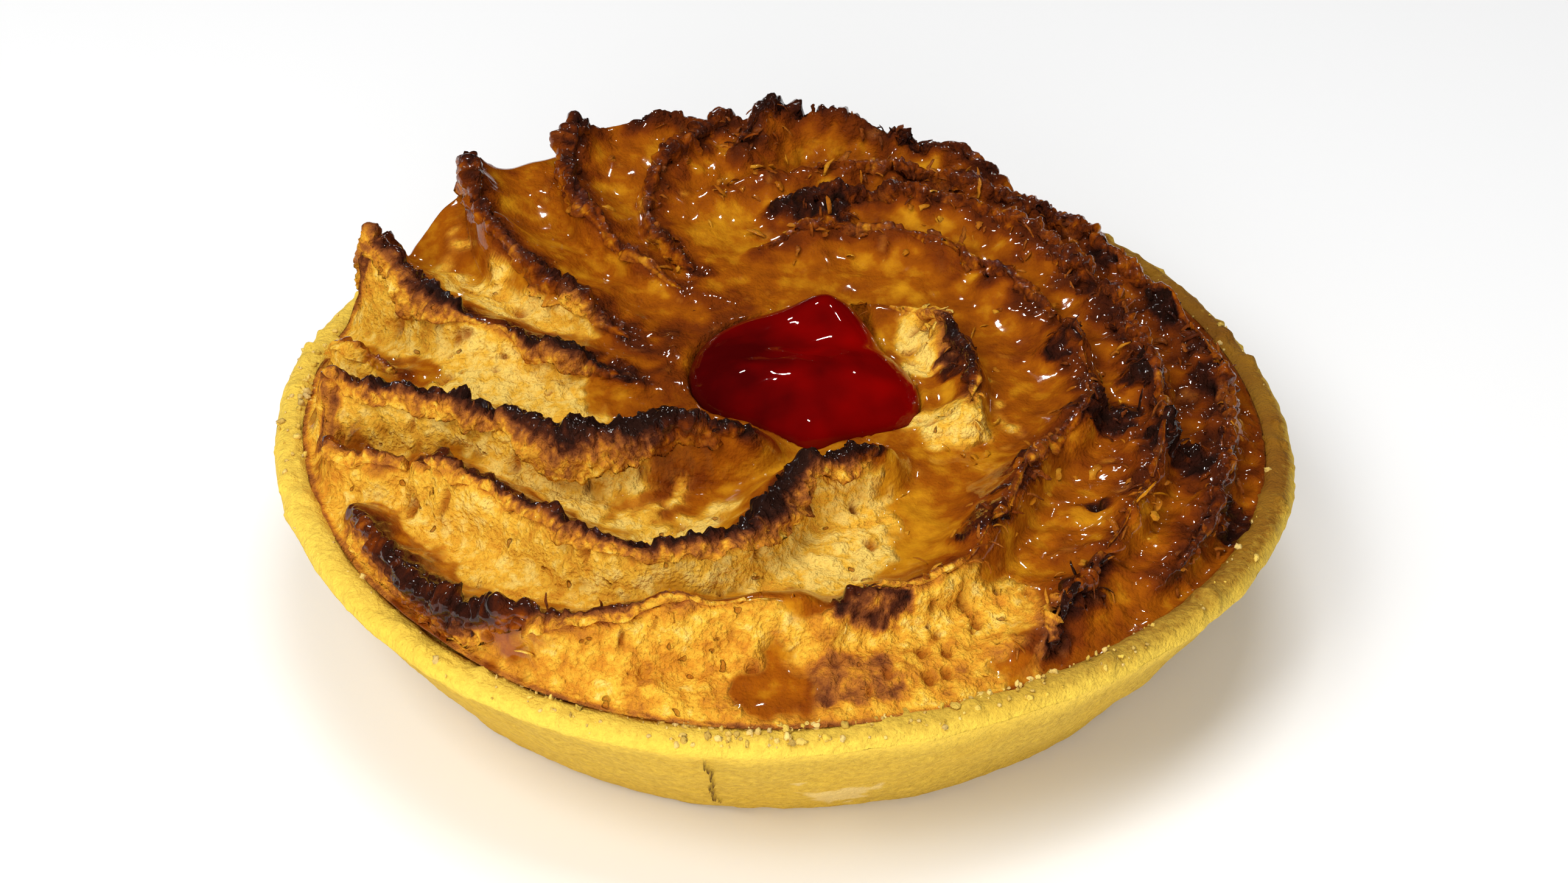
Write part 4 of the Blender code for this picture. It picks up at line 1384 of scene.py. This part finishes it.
@dataclass
class ToastedCrusts:
    """The rough toasted crust draped over each crest, with a ragged lip down the steep face.

    Attributes:
        name: The piece's name.
        ridges: The ridges that it covers.
        shape: The filling's form, which carries the crust.
        spacing: Distance between sections in mm.
        top: Points across the crust's top.
        under: Points across its hidden underside.
        sink: How deep its underside lies in the filling, in mm.
        tear: How torn its edges are.
        gaps: How much it thins out and swells along a crest.
        seed: Seed of its roughness.
        crags: Crags of its top.
        fine_crags: Finer crags of its top.
        tones: Places across a band, from -1 to 1, with how dark each is against the crest.
    """

    name: str
    ridges: tuple[str, ...]
    shape: FillingShape
    spacing: float = 0.13
    top: int = 34
    under: int = 6
    sink: float = 0.55
    tear: float = 1.0
    gaps: float = 0.3
    seed: int = 100
    crags: Relief = Relief(0.36, 2.1, 3, 1, craggy=True)
    fine_crags: Relief = Relief(0.10, 0.8, 2, 2, craggy=True)
    tones: tuple[tuple[float, float], ...] = (
        (-1.0, 0.7), (-0.5, 1.1), (0.0, 1.12), (0.3, 0.78), (0.5, 0.46), (0.75, 0.32), (1.0, 0.24))

    def band(self, ridge: Ridge, seed: int) -> dict[str, np.ndarray]:
        """Drapes a thick band over one crest.

        Across the crest, from -1 on the gentle side to 1 on the steep side, the band reaches a ragged
        distance down. Each of its points lies on the filling and is lifted along the normal by the crust's
        thickness plus craggy noise. Its underside lies sunk in the filling.

        Args:
            ridge: The ridge.
            seed: Seed of its roughness.

        Returns:
            Points in mm with their toasting and glaze, section by section.
        """
        rough = ridge.line(240)
        run = np.concatenate([[0.0], np.cumsum(np.hypot(*np.diff(rough[:, :2], axis=0).T))])
        at = np.linspace(0.0, run[-1], max(int(run[-1] / self.spacing), 16))
        share = at / run[-1]
        x, y = np.interp(at, run, rough[:, 0]), np.interp(at, run, rough[:, 1])
        left = np.stack([-np.gradient(y), np.gradient(x)], axis=1)
        left /= np.linalg.norm(left, axis=1)[:, None]
        line = np.stack([x, y, np.full_like(x, 3.0 * seed)], axis=1)
        size = np.interp(share, np.linspace(0.0, 1.0, len(ridge.crust)), ridge.crust)
        size = size * (1.0 - np.abs(2.0 * share - 1.0) ** 14) ** 0.5
        size = size * np.clip(1.0 + self.gaps * fractal(line, 5.0, 2, seed + 9), 0.3, 1.5)
        steep_reach = size * (0.80 + 0.26 * fractal(line, 4.0, 2, seed))
        gentle_reach = size * (0.80 + 0.30 * fractal(line, 4.0, 2, seed + 5))
        under = np.linspace(1.0, -1.0, self.under + 2)[1:-1]
        v = np.concatenate([np.linspace(-1.0, 1.0, self.top), under])
        away = np.where(v > 0.0, v * steep_reach[:, None], v * gentle_reach[:, None])
        plan = np.stack([x, y], axis=1)[:, None] + left[:, None] * away[..., None]
        plain = np.concatenate([plan.reshape(-1, 2), np.full((away.size, 1), 3.0 * seed)], axis=1)
        torn = self.tear * fractal(plain, 1.5, 2, seed + 6, 0.6).reshape(away.shape)
        torn = torn * np.where(v > 0.0, 0.20, -0.5) * smoothstep((np.abs(v) - 0.35) / 0.5)
        away = away + torn * np.minimum(size, 1.2)[:, None]
        plan = (np.stack([x, y], axis=1)[:, None] + left[:, None] * away[..., None]).reshape(-1, 2)
        baked = self.shape.bake(plan[:, 0], plan[:, 1])
        surface = np.concatenate([plan + baked.lean, baked.height[:, None]], axis=1)
        grid = surface.reshape(*away.shape, 3)
        normal = -grid_normals(grid[:, : self.top])
        back = np.linspace(self.top - 1, 0, self.under + 2)[1:-1].astype(int)
        normal = np.concatenate([normal, normal[:, back]], axis=1)
        wet = baked.glaze.reshape(away.shape)
        thick = (0.18 + 0.40 * size)[:, None] * smoothstep((v + 1.0) / 0.7)
        thick = thick * (1.0 - 0.7 * wet * smoothstep((v - 0.2) / 0.8))
        crag = (self.crags.at(surface, seed) + self.fine_crags.at(surface, seed)).reshape(away.shape)
        raised = thick + crag * np.minimum(size, 1.3)[:, None]
        lift = np.where(np.arange(len(v)) < self.top, raised, -self.sink)
        lift = lift * np.minimum(size * 3.0, 1.0)[:, None] - 0.15 * (v < -0.9) - 0.3 * (size < 0.15)[:, None]
        dark = np.interp(share, np.linspace(0.0, 1.0, len(ridge.toast)), ridge.toast)
        dark = (dark * (1.0 + 0.22 * fractal(line, 3.2, 2, seed + 7)))[:, None]
        edge = smoothstep((np.abs(v) - 0.45) / 0.55) * (0.25 + 0.75 * wet)
        toast = dark * np.interp(v, *zip(*self.tones)) * (1.0 - edge) + baked.toast.reshape(away.shape) * edge
        toast = toast.ravel() + 0.16 * fractal(surface, 1.0, 3, seed + 3)
        toast = toast - 0.14 * billow(surface, 0.6, 2, seed + 2)
        wet_top = (0.5 * smoothstep((dark - 0.5) / 0.5) * smoothstep((0.5 - v) / 0.6)).ravel()
        glaze = baked.glaze + wet_top + 0.4 * fractal(surface, 3.0, 2, seed + 4)
        return {
            "points": (grid + normal * lift[..., None]).reshape(-1, 3),
            "toast": np.clip(toast, 0.12, 1.1),
            "glaze": np.clip(glaze, 0.0, 1.0),
        }

    def build(self) -> bpy.types.Object:
        """Joins the bands of its ridges in one piece, each closed at its ends.

        Returns:
            The crusts' piece.
        """
        parts = {"points": [], "toast": [], "glaze": []}
        quads, fans, first = [], [], 0
        sides = self.top + self.under
        ring = np.arange(sides)
        for number, name in enumerate(self.ridges):
            band = self.band(RIDGES[name], self.seed + 10 * number)
            count = len(band["points"])
            quads.append(grid_faces(count // sides, sides, True)[:, ::-1] + first)
            fans.append(fan(first + ring, first + count))
            fans.append(fan(first + count - sides + ring, first + count + 1)[:, ::-1])
            ends = np.stack([band["points"][:sides].mean(axis=0), band["points"][-sides:].mean(axis=0)])
            parts["points"] += [band["points"], ends]
            parts["toast"] += [band["toast"], band["toast"][[0, -1]]]
            parts["glaze"] += [band["glaze"], band["glaze"][[0, -1]]]
            first += count + 2
        points, toast, glaze = (np.concatenate(part) for part in parts.values())
        values = {"toast": toast, "glaze": glaze, "shaded_pore": np.zeros(len(points))}
        faces = [np.concatenate(quads), np.concatenate(fans)]
        return mesh_object(self.name, self.shape.seat(points), faces, values)


@dataclass(frozen=True)
class PlacedFlake:
    """A flake that the photograph shows by itself.

    Attributes:
        x: Its root in plan, in mm.
        y: Its root in plan, in mm.
        heading: Azimuth that it points to, in degrees.
        length: Its length in mm.
        width: Half its width in mm.
        toast: How dark it is, from 0 to 1.
        glaze: How much glaze lies on it, from 0 to 1.
    """

    x: float
    y: float
    heading: float
    length: float
    width: float
    toast: float
    glaze: float


@dataclass
class CoconutFlakes:
    """Torn flakes and shreds of coconut, most of them lying on the crests and on the rough right and back.

    Attributes:
        shape: The filling's form.
        count: How many flakes there are.
        seed: Seed of their places and sizes.
        stations: Sections along a flake.
        loose: Share of them that lie anywhere on the rough part.
        reach: Radius in mm that their roots keep within.
        placed: Flakes that are placed one by one.
    """

    shape: FillingShape
    count: int = 620
    seed: int = 8
    stations: int = 6
    loose: float = 0.35
    reach: float = 36.0
    placed: tuple[PlacedFlake, ...] = (
        PlacedFlake(-7.9, 8.6, 40, 1.6, 0.34, 0.66, 1.0), PlacedFlake(-8.3, 9.2, 30, 1.3, 0.26, 0.60, 1.0),
        PlacedFlake(11.2, 9.6, 15, 2.0, 0.42, -0.1, 0.1), PlacedFlake(12.2, 8.6, -25, 1.7, 0.36, -0.1, 0.1),
        PlacedFlake(10.4, 10.4, 50, 1.3, 0.34, 0.0, 0.2), PlacedFlake(11.6, 7.4, -70, 1.5, 0.40, -0.1, 0.1),
        PlacedFlake(4.4, -31.0, 80, 1.3, 0.12, -0.1, 0.2), PlacedFlake(12.3, -4.6, 120, 1.1, 0.34, -0.1, 0.1),
        PlacedFlake(13.6, -6.6, -30, 1.2, 0.36, -0.1, 0.1), PlacedFlake(-24.4, 13.8, 70, 1.2, 0.14, 0.1, 0.3),
        PlacedFlake(25.0, -16.6, 35, 2.4, 0.12, 0.1, 1.0), PlacedFlake(26.6, -14.6, 60, 2.2, 0.12, 0.1, 1.0))

    def places(self, draw: np.random.Generator) -> tuple[np.ndarray, np.ndarray, np.ndarray]:
        """Picks places along the crests and over the rough part.

        Args:
            draw: Source of random numbers.

        Returns:
            Plan points, and which of them lie on a crest.
        """
        ridges = list(RIDGES.values())
        lengths = np.array([np.hypot(*np.diff(r.line(60)[:, :2], axis=0).T).sum() for r in ridges])
        lengths = lengths * np.where([name in LEFT_RIDGES for name in RIDGES], 0.22, 1.0)
        pick = draw.choice(len(ridges), self.count, p=lengths / lengths.sum())
        samples = 120
        lines = np.stack([r.line(samples) for r in ridges])
        place = draw.uniform(0.0, 1.0, self.count) * (samples - 2.0)
        low = place.astype(int)
        step = lines[pick, low + 1] - lines[pick, low]
        base = lines[pick, low] + step * (place - low)[:, None]
        left = np.stack([-step[:, 1], step[:, 0]], axis=1) / np.linalg.norm(step[:, :2], axis=1)[:, None]
        aside = draw.normal(0.0, 0.9, self.count)
        x, y = base[:, 0] + left[:, 0] * aside, base[:, 1] + left[:, 1] * aside
        turn = draw.uniform(math.radians(-70.0), math.radians(125.0), self.count)
        radius = np.sqrt(draw.uniform(0.17, 0.98, self.count)) * (RIM_RADIUS - RIM_WIDTH)
        scattered = draw.uniform(size=self.count) < self.loose
        x = np.where(scattered, radius * np.cos(turn), x)
        y = np.where(scattered, radius * np.sin(turn), y)
        inside = np.minimum(1.0, self.reach / np.maximum(np.hypot(x, y), 1e-6))
        return x * inside, y * inside, ~scattered

    def build(self) -> bpy.types.Object:
        """Draws bent flat strips with torn sides, each from its root along a curve, and the placed ones.

        Returns:
            The flakes' piece.
        """
        draw = np.random.default_rng(self.seed)
        x, y, on_crest = self.places(draw)
        heading = draw.uniform(0.0, 2 * math.pi, self.count)
        length = draw.uniform(0.5, 1.7, self.count)
        width = 0.10 + 0.26 * draw.uniform(size=self.count) ** 1.6
        own = slice(0, len(self.placed))
        x[own], y[own], turn, length[own], width[own], own_toast, own_glaze = np.array(
            [astuple(flake) for flake in self.placed]).T
        heading[own] = np.radians(turn)
        on_crest[own] = False
        baked = self.shape.bake(x, y)
        small = 0.05
        slope_x = (self.shape.bake(x + small, y).height - baked.height) / small
        slope_y = (self.shape.bake(x, y + small).height - baked.height) / small
        lie = np.arctan(slope_x * np.cos(heading) + slope_y * np.sin(heading))
        proud = np.radians(np.abs(draw.normal(0.0, np.where(on_crest, 16.0, 9.0))))
        spiky = on_crest & (draw.uniform(size=self.count) < 0.06)
        pitch = np.clip(lie + np.where(spiky, math.radians(55.0), proud), -1.2, 1.2)
        width = np.where(spiky, 0.10, width)
        thick = draw.uniform(0.03, 0.06, self.count)
        bend = draw.normal(0.0, 0.6, self.count)
        droop = draw.uniform(0.0, 0.7, self.count)
        t = np.linspace(0.0, 1.0, self.stations)
        way, tilt = heading[:, None] + bend[:, None] * t, pitch[:, None] - droop[:, None] * t
        step = np.stack([np.cos(way) * np.cos(tilt), np.sin(way) * np.cos(tilt), np.sin(tilt)], axis=-1)
        run = np.cumsum(step * length[:, None, None] / (self.stations - 1), axis=1)
        lift = np.where(on_crest, 0.10, 0.03)[:, None] - 0.25 * (1.0 - t) ** 4
        root = np.stack([x + baked.lean[:, 0], y + baked.lean[:, 1], baked.height], axis=1)
        centre = root[:, None] + run + lift[..., None] * np.array([0.0, 0.0, 1.0])
        side = np.stack([-np.sin(way), np.cos(way), np.zeros_like(way)], axis=-1)
        up = np.stack([-np.cos(way) * np.sin(tilt), -np.sin(way) * np.sin(tilt), np.cos(tilt)], axis=-1)
        twist = draw.normal(0.0, 0.4, self.count)[:, None, None]
        side, up = side * np.cos(twist) + up * np.sin(twist), up * np.cos(twist) - side * np.sin(twist)
        taper = np.sqrt(np.clip(1.0 - (1.6 * t - 0.7) ** 2, 0.06, 1.0))
        torn = draw.uniform(0.4, 1.3, (2, self.count, self.stations)) * width[:, None] * taper
        one, other = side * torn[0][..., None], side * torn[1][..., None]
        high = up * (thick[:, None] * taper)[..., None]
        corners = [centre - one - high, centre + other - high, centre + other + high, centre - one + high]
        points = self.shape.seat(np.stack(corners, axis=2).reshape(-1, 3))
        each = self.stations * 4
        caps = np.array([[3, 2, 1, 0], [each - 4, each - 3, each - 2, each - 1]])
        pattern = np.concatenate([grid_faces(self.stations, 4, True), caps])
        faces = (pattern[None] + (np.arange(self.count) * each)[:, None, None]).reshape(-1, 4)
        toast = np.clip(baked.toast * draw.uniform(0.55, 1.1, self.count), 0.10, 1.0)
        glaze = baked.glaze * draw.uniform(0.6, 1.0, self.count)
        toast[own], glaze[own] = own_toast, own_glaze
        values = {"toast": np.repeat(toast, each), "glaze": np.repeat(glaze, each)}
        values["shaded_pore"] = np.zeros(len(points))
        return mesh_object("coconut_flakes", points, [faces], values)


@dataclass
class RimCrumbs:
    """Crumbs of pastry and coconut that baked on to the rim and along the filling's edge.

    Attributes:
        count: How many crumbs there are.
        seed: Seed of their places and sizes.
        inner_edge: Radius and spread of the crumbs on the rim's inner edge.
        outer_edge: Radius and spread of the crumbs on its outer edge.
        inner_share: Share of them on the inner edge.
        sectors: Azimuth and spread in degrees, and share, of each stretch where they gather.
    """

    count: int = 460
    seed: int = 12
    inner_edge: tuple[float, float] = (37.95, 0.3)
    outer_edge: tuple[float, float] = (39.35, 0.25)
    inner_share: float = 0.7
    sectors: tuple[tuple[float, float, float], ...] = (
        (-96.0, 5.0, 0.20), (-88.0, 3.0, 0.12), (-76.0, 6.0, 0.13), (-112.0, 6.0, 0.10), (177.0, 6.0, 0.18),
        (-62.0, 4.0, 0.07), (-52.0, 3.0, 0.05), (-20.0, 100.0, 0.15))

    def build(self) -> bpy.types.Object:
        """Sets lumpy balls on the rounded rim, sunk by a third of their size.

        Returns:
            The crumbs' piece.
        """
        draw = np.random.default_rng(self.seed)
        at, spread, share = np.array(self.sectors).T
        pick = draw.choice(len(share), self.count, p=share)
        azimuth = np.radians(at[pick] + spread[pick] * draw.normal(0.0, 1.0, self.count))
        inner = draw.uniform(size=self.count) < self.inner_share
        radius = np.where(
            inner, draw.normal(*self.inner_edge, self.count), draw.normal(*self.outer_edge, self.count))
        size = 0.08 + 0.24 * draw.uniform(size=self.count) ** 2.5
        past = np.maximum(RIM_RADIUS - RIM_WIDTH + RIM_ROUND - radius, radius - RIM_RADIUS + RIM_ROUND)
        past = np.clip(past, 0.0, RIM_ROUND * 0.95)
        height = CASE_HEIGHT - RIM_ROUND + np.sqrt(RIM_ROUND**2 - past**2) - rim_dip(azimuth)
        x, y = out_of_round(radius * np.cos(azimuth), radius * np.sin(azimuth), height)
        ball = bmesh.new()
        bmesh.ops.create_icosphere(ball, subdivisions=2, radius=1.0)
        unit = np.array([vertex.co for vertex in ball.verts])
        faces = np.array([[vertex.index for vertex in face.verts] for face in ball.faces])
        ball.free()
        stretch = draw.uniform(0.6, 1.3, (self.count, 1, 3))
        lumps = 1.0 + 0.22 * draw.normal(0.0, 1.0, (self.count, len(unit), 1))
        points = unit[None] * stretch * lumps * size[:, None, None]
        centre = np.stack([x, y, height + size * 0.3], axis=1)
        points = (points + centre[:, None]).reshape(-1, 3)
        faces = (faces[None] + (np.arange(self.count) * len(unit))[:, None, None]).reshape(-1, 3)
        values = {
            "rim": np.repeat(draw.uniform(0.0, 0.7, self.count), len(unit)),
            "flaw": np.repeat(draw.uniform(-0.5, 0.0, self.count), len(unit)),
        }
        return mesh_object("rim_crumbs", points, [faces], values)


@dataclass
class HalfCherry:
    """The half glace cherry.

    Attributes:
        shape: The cherry's form.
        columns: Vertices round it.
        rows: Rings of vertices from its top to its underside.
        creases: The relief of its top.
        cloud: Unevenness of its depth of colour.
    """

    shape: CherryShape
    columns: int = 240
    rows: int = 119
    creases: tuple[Relief, ...] = (
        Relief(0.16, 5.0, 2, 201), Relief(0.20, 5.4, 1, 205, craggy=True), Relief(0.012, 1.4, 1, 207))
    cloud: Relief = Relief(0.35, 4.0, 2, 209)

    def build(self) -> bpy.types.Object:
        """Presses a sphere to the outline, the top and the cut face, and wrinkles it.

        Returns:
            The cherry's piece.
        """
        polar = np.linspace(0.0, math.pi, self.rows + 2)[1:-1]
        azimuth = np.linspace(0.0, 2 * math.pi, self.columns, endpoint=False)
        phi, theta = np.broadcast_arrays(polar[:, None], azimuth[None, :])
        share = np.concatenate([np.sin(phi).ravel(), [0.0, 0.0]])
        upper = np.concatenate([(phi < math.pi / 2).ravel(), [True, False]])
        radius = self.shape.outline(theta) * np.sin(phi)
        x, y = (
            np.concatenate([(middle + radius * wave).ravel(), [middle, middle]])
            for middle, wave in zip(self.shape.centre, (np.cos(theta), np.sin(theta))))
        z = np.where(upper, self.shape.top(x, y), self.shape.underside(share))
        points = np.stack([x, y, z], axis=1)
        crease = sum(relief.at(points) for relief in self.creases)
        points[:, 2] += CASE_HEIGHT + crease * upper * smoothstep((1.0 - share) / 0.1)
        ring, count = np.arange(self.columns), self.rows * self.columns
        base_fan = fan(ring + count - self.columns, count + 1)[:, ::-1]
        faces = [grid_faces(self.rows, self.columns, True)[:, ::-1], fan(ring, count), base_fan]
        east = (points[:, 0] - self.shape.centre[0]) / self.shape.radius
        # Painted light: brighter towards the right side and darker towards the left; the cloud is uneven
        # depth of colour.
        glow_and_thin = np.clip(0.40 + 0.45 * east + self.cloud.at(points), 0.0, 1.0)
        return mesh_object("glace_cherry", points, faces, {"glow_and_thin": glow_and_thin})


@dataclass(frozen=True)
class Lamp:
    """A rectangular light that faces the tartlet.

    Attributes:
        name: Its name.
        place: Its middle in mm.
        size: Its width and height in mm.
        power: Its power in watts.
        sparkle: Whether it only makes highlights, or only lights the surface.
    """

    name: str
    place: tuple[float, float, float]
    size: tuple[float, float]
    power: float
    sparkle: bool

    def hang(self) -> None:
        """Puts the light in the scene."""
        data = bpy.data.lights.new(self.name, "AREA")
        data.shape = "RECTANGLE"
        data.size = self.size[0] * MM
        data.size_y = self.size[1] * MM
        data.energy = self.power
        lamp = bpy.data.objects.new(self.name, data)
        lamp.visible_glossy = self.sparkle
        lamp.visible_diffuse = not self.sparkle
        bpy.context.scene.collection.objects.link(lamp)
        at = Vector(self.place) * MM
        aim = Vector((0.0, 0.0, CASE_HEIGHT * MM)) - at
        lamp.matrix_world = Matrix.Translation(at) @ aim.to_track_quat("-Z", "Y").to_matrix().to_4x4()


@dataclass(frozen=True)
class Studio:
    """Camera, floor and lights.

    Attributes:
        lens: Focal length in mm.
        sensor: Width of the camera's frame in mm.
        elevation: How far the camera looks down, in degrees.
        roll: How far the camera is rolled, in degrees.
        distance: Distance to the rim's centre in mm.
        offset: Sideways and upward offset of the camera in mm.
        floor_reach: Half the floor's side in mm.
        surroundings: Strength of the white light from all round.
        lamps: The lights.
    """

    lens: float = 70.0
    sensor: float = 36.0
    elevation: float = 34.576
    roll: float = 1.206
    distance: float = 240.70
    offset: tuple[float, float] = (0.0401, -2.1989)
    floor_reach: float = 1500.0
    surroundings: float = 0.31
    lamps: tuple[Lamp, ...] = (
        Lamp("key", (-250.0, -230.0, 430.0), (260.0, 260.0), 1.52, False),
        Lamp("front_fill", (-60.0, -520.0, 160.0), (320.0, 320.0), 1.72, False),
        Lamp("overhead", (20.0, 60.0, 560.0), (260.0, 260.0), 1.2, False),
        Lamp("left_sparkle", (-140.0, 320.0, 370.0), (44.0, 15.0), 0.42, True),
        Lamp("right_sparkle", (150.0, 300.0, 430.0), (20.0, 20.0), 0.22, True),
        Lamp("front_sparkle", (-60.0, -120.0, 560.0), (46.0, 10.0), 0.32, True))

    def camera(self) -> None:
        """Puts the camera where the rim and the base line up with the photograph."""
        look, roll = math.radians(self.elevation), math.radians(self.roll)
        back = Vector((0.0, -math.cos(look), math.sin(look)))
        up = Vector((0.0, math.sin(look), math.cos(look)))
        right = Vector((1.0, 0.0, 0.0))
        place = (back * self.distance + right * self.offset[0] + up * self.offset[1]) * MM
        across = math.cos(roll) * right + math.sin(roll) * up
        upward = -math.sin(roll) * right + math.cos(roll) * up
        data = bpy.data.cameras.new("camera")
        data.lens = self.lens
        data.sensor_width = self.sensor
        data.clip_start = 0.005
        camera = bpy.data.objects.new("camera", data)
        bpy.context.scene.collection.objects.link(camera)
        turn = Matrix((across, upward, back)).transposed()
        camera.matrix_world = Matrix.Translation(place + Vector((0.0, 0.0, CASE_HEIGHT * MM))) @ turn.to_4x4()
        bpy.context.scene.camera = camera

    def floor(self) -> None:
        """Lays a plain pale floor."""
        corners = np.array([[-1.0, -1.0, 0.0], [1.0, -1.0, 0.0], [1.0, 1.0, 0.0], [-1.0, 1.0, 0.0]])
        floor = mesh_object("floor", corners * self.floor_reach, [np.array([[0, 1, 2, 3]])])
        material, nodes, shader = new_material("pale_floor")
        nodes.join(shader, {"Base Color": (0.93, 0.93, 0.93, 1.0), "Roughness": 0.9})
        floor.data.materials.append(material)

    def build(self) -> None:
        """Sets the camera, floor, lights and the plain white surroundings."""
        self.camera()
        self.floor()
        for lamp in self.lamps:
            lamp.hang()
        world = bpy.data.worlds.new("white_studio")
        world.use_nodes = True
        background = world.node_tree.nodes["Background"]
        white = {"Color": (1.0, 1.0, 1.0, 1.0), "Strength": self.surroundings}
        Nodes(world.node_tree).join(background, white)
        bpy.context.scene.world = world
        world.cycles_visibility.glossy = False
        bpy.context.scene.view_settings.view_transform = "Standard"


def main() -> None:
    """Builds every piece in order and reports it."""
    logging.basicConfig(level=logging.INFO, format="%(message)s")
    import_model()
    Studio().build()
    shape = FillingShape()
    baked = BakedFinish().material("baked_coconut")
    pastry = PastryFinish().material("shortcrust")
    pieces = [
        dress(PastryCase().build(), pastry, Slot.SHORTCRUST, "pastry_case"),
        dress(RimCrumbs().build(), pastry, Slot.SHORTCRUST),
        dress(CoconutFilling(shape).build(), baked, Slot.FILLING, "coconut_filling"),
        dress(ToastedCrusts("toasted_crusts_left", LEFT_RIDGES, shape).build(), baked, Slot.FILLING),
        dress(
            ToastedCrusts("toasted_crusts_right", RIGHT_RIDGES, shape, tear=1.4, gaps=1.0, seed=400).build(),
            baked, Slot.FILLING),
        dress(CoconutFlakes(shape).build(), baked, Slot.FILLING),
        dress(HalfCherry(shape.cherry).build(), CherryFinish().material("glace"), Slot.CHERRY, "cherry"),
    ]
    for piece in pieces:
        triangles = sum(len(face.vertices) - 2 for face in piece.data.polygons)
        LOG.info("%s: %d triangles", piece.name, triangles)


if __name__ == "__main__":
    main()
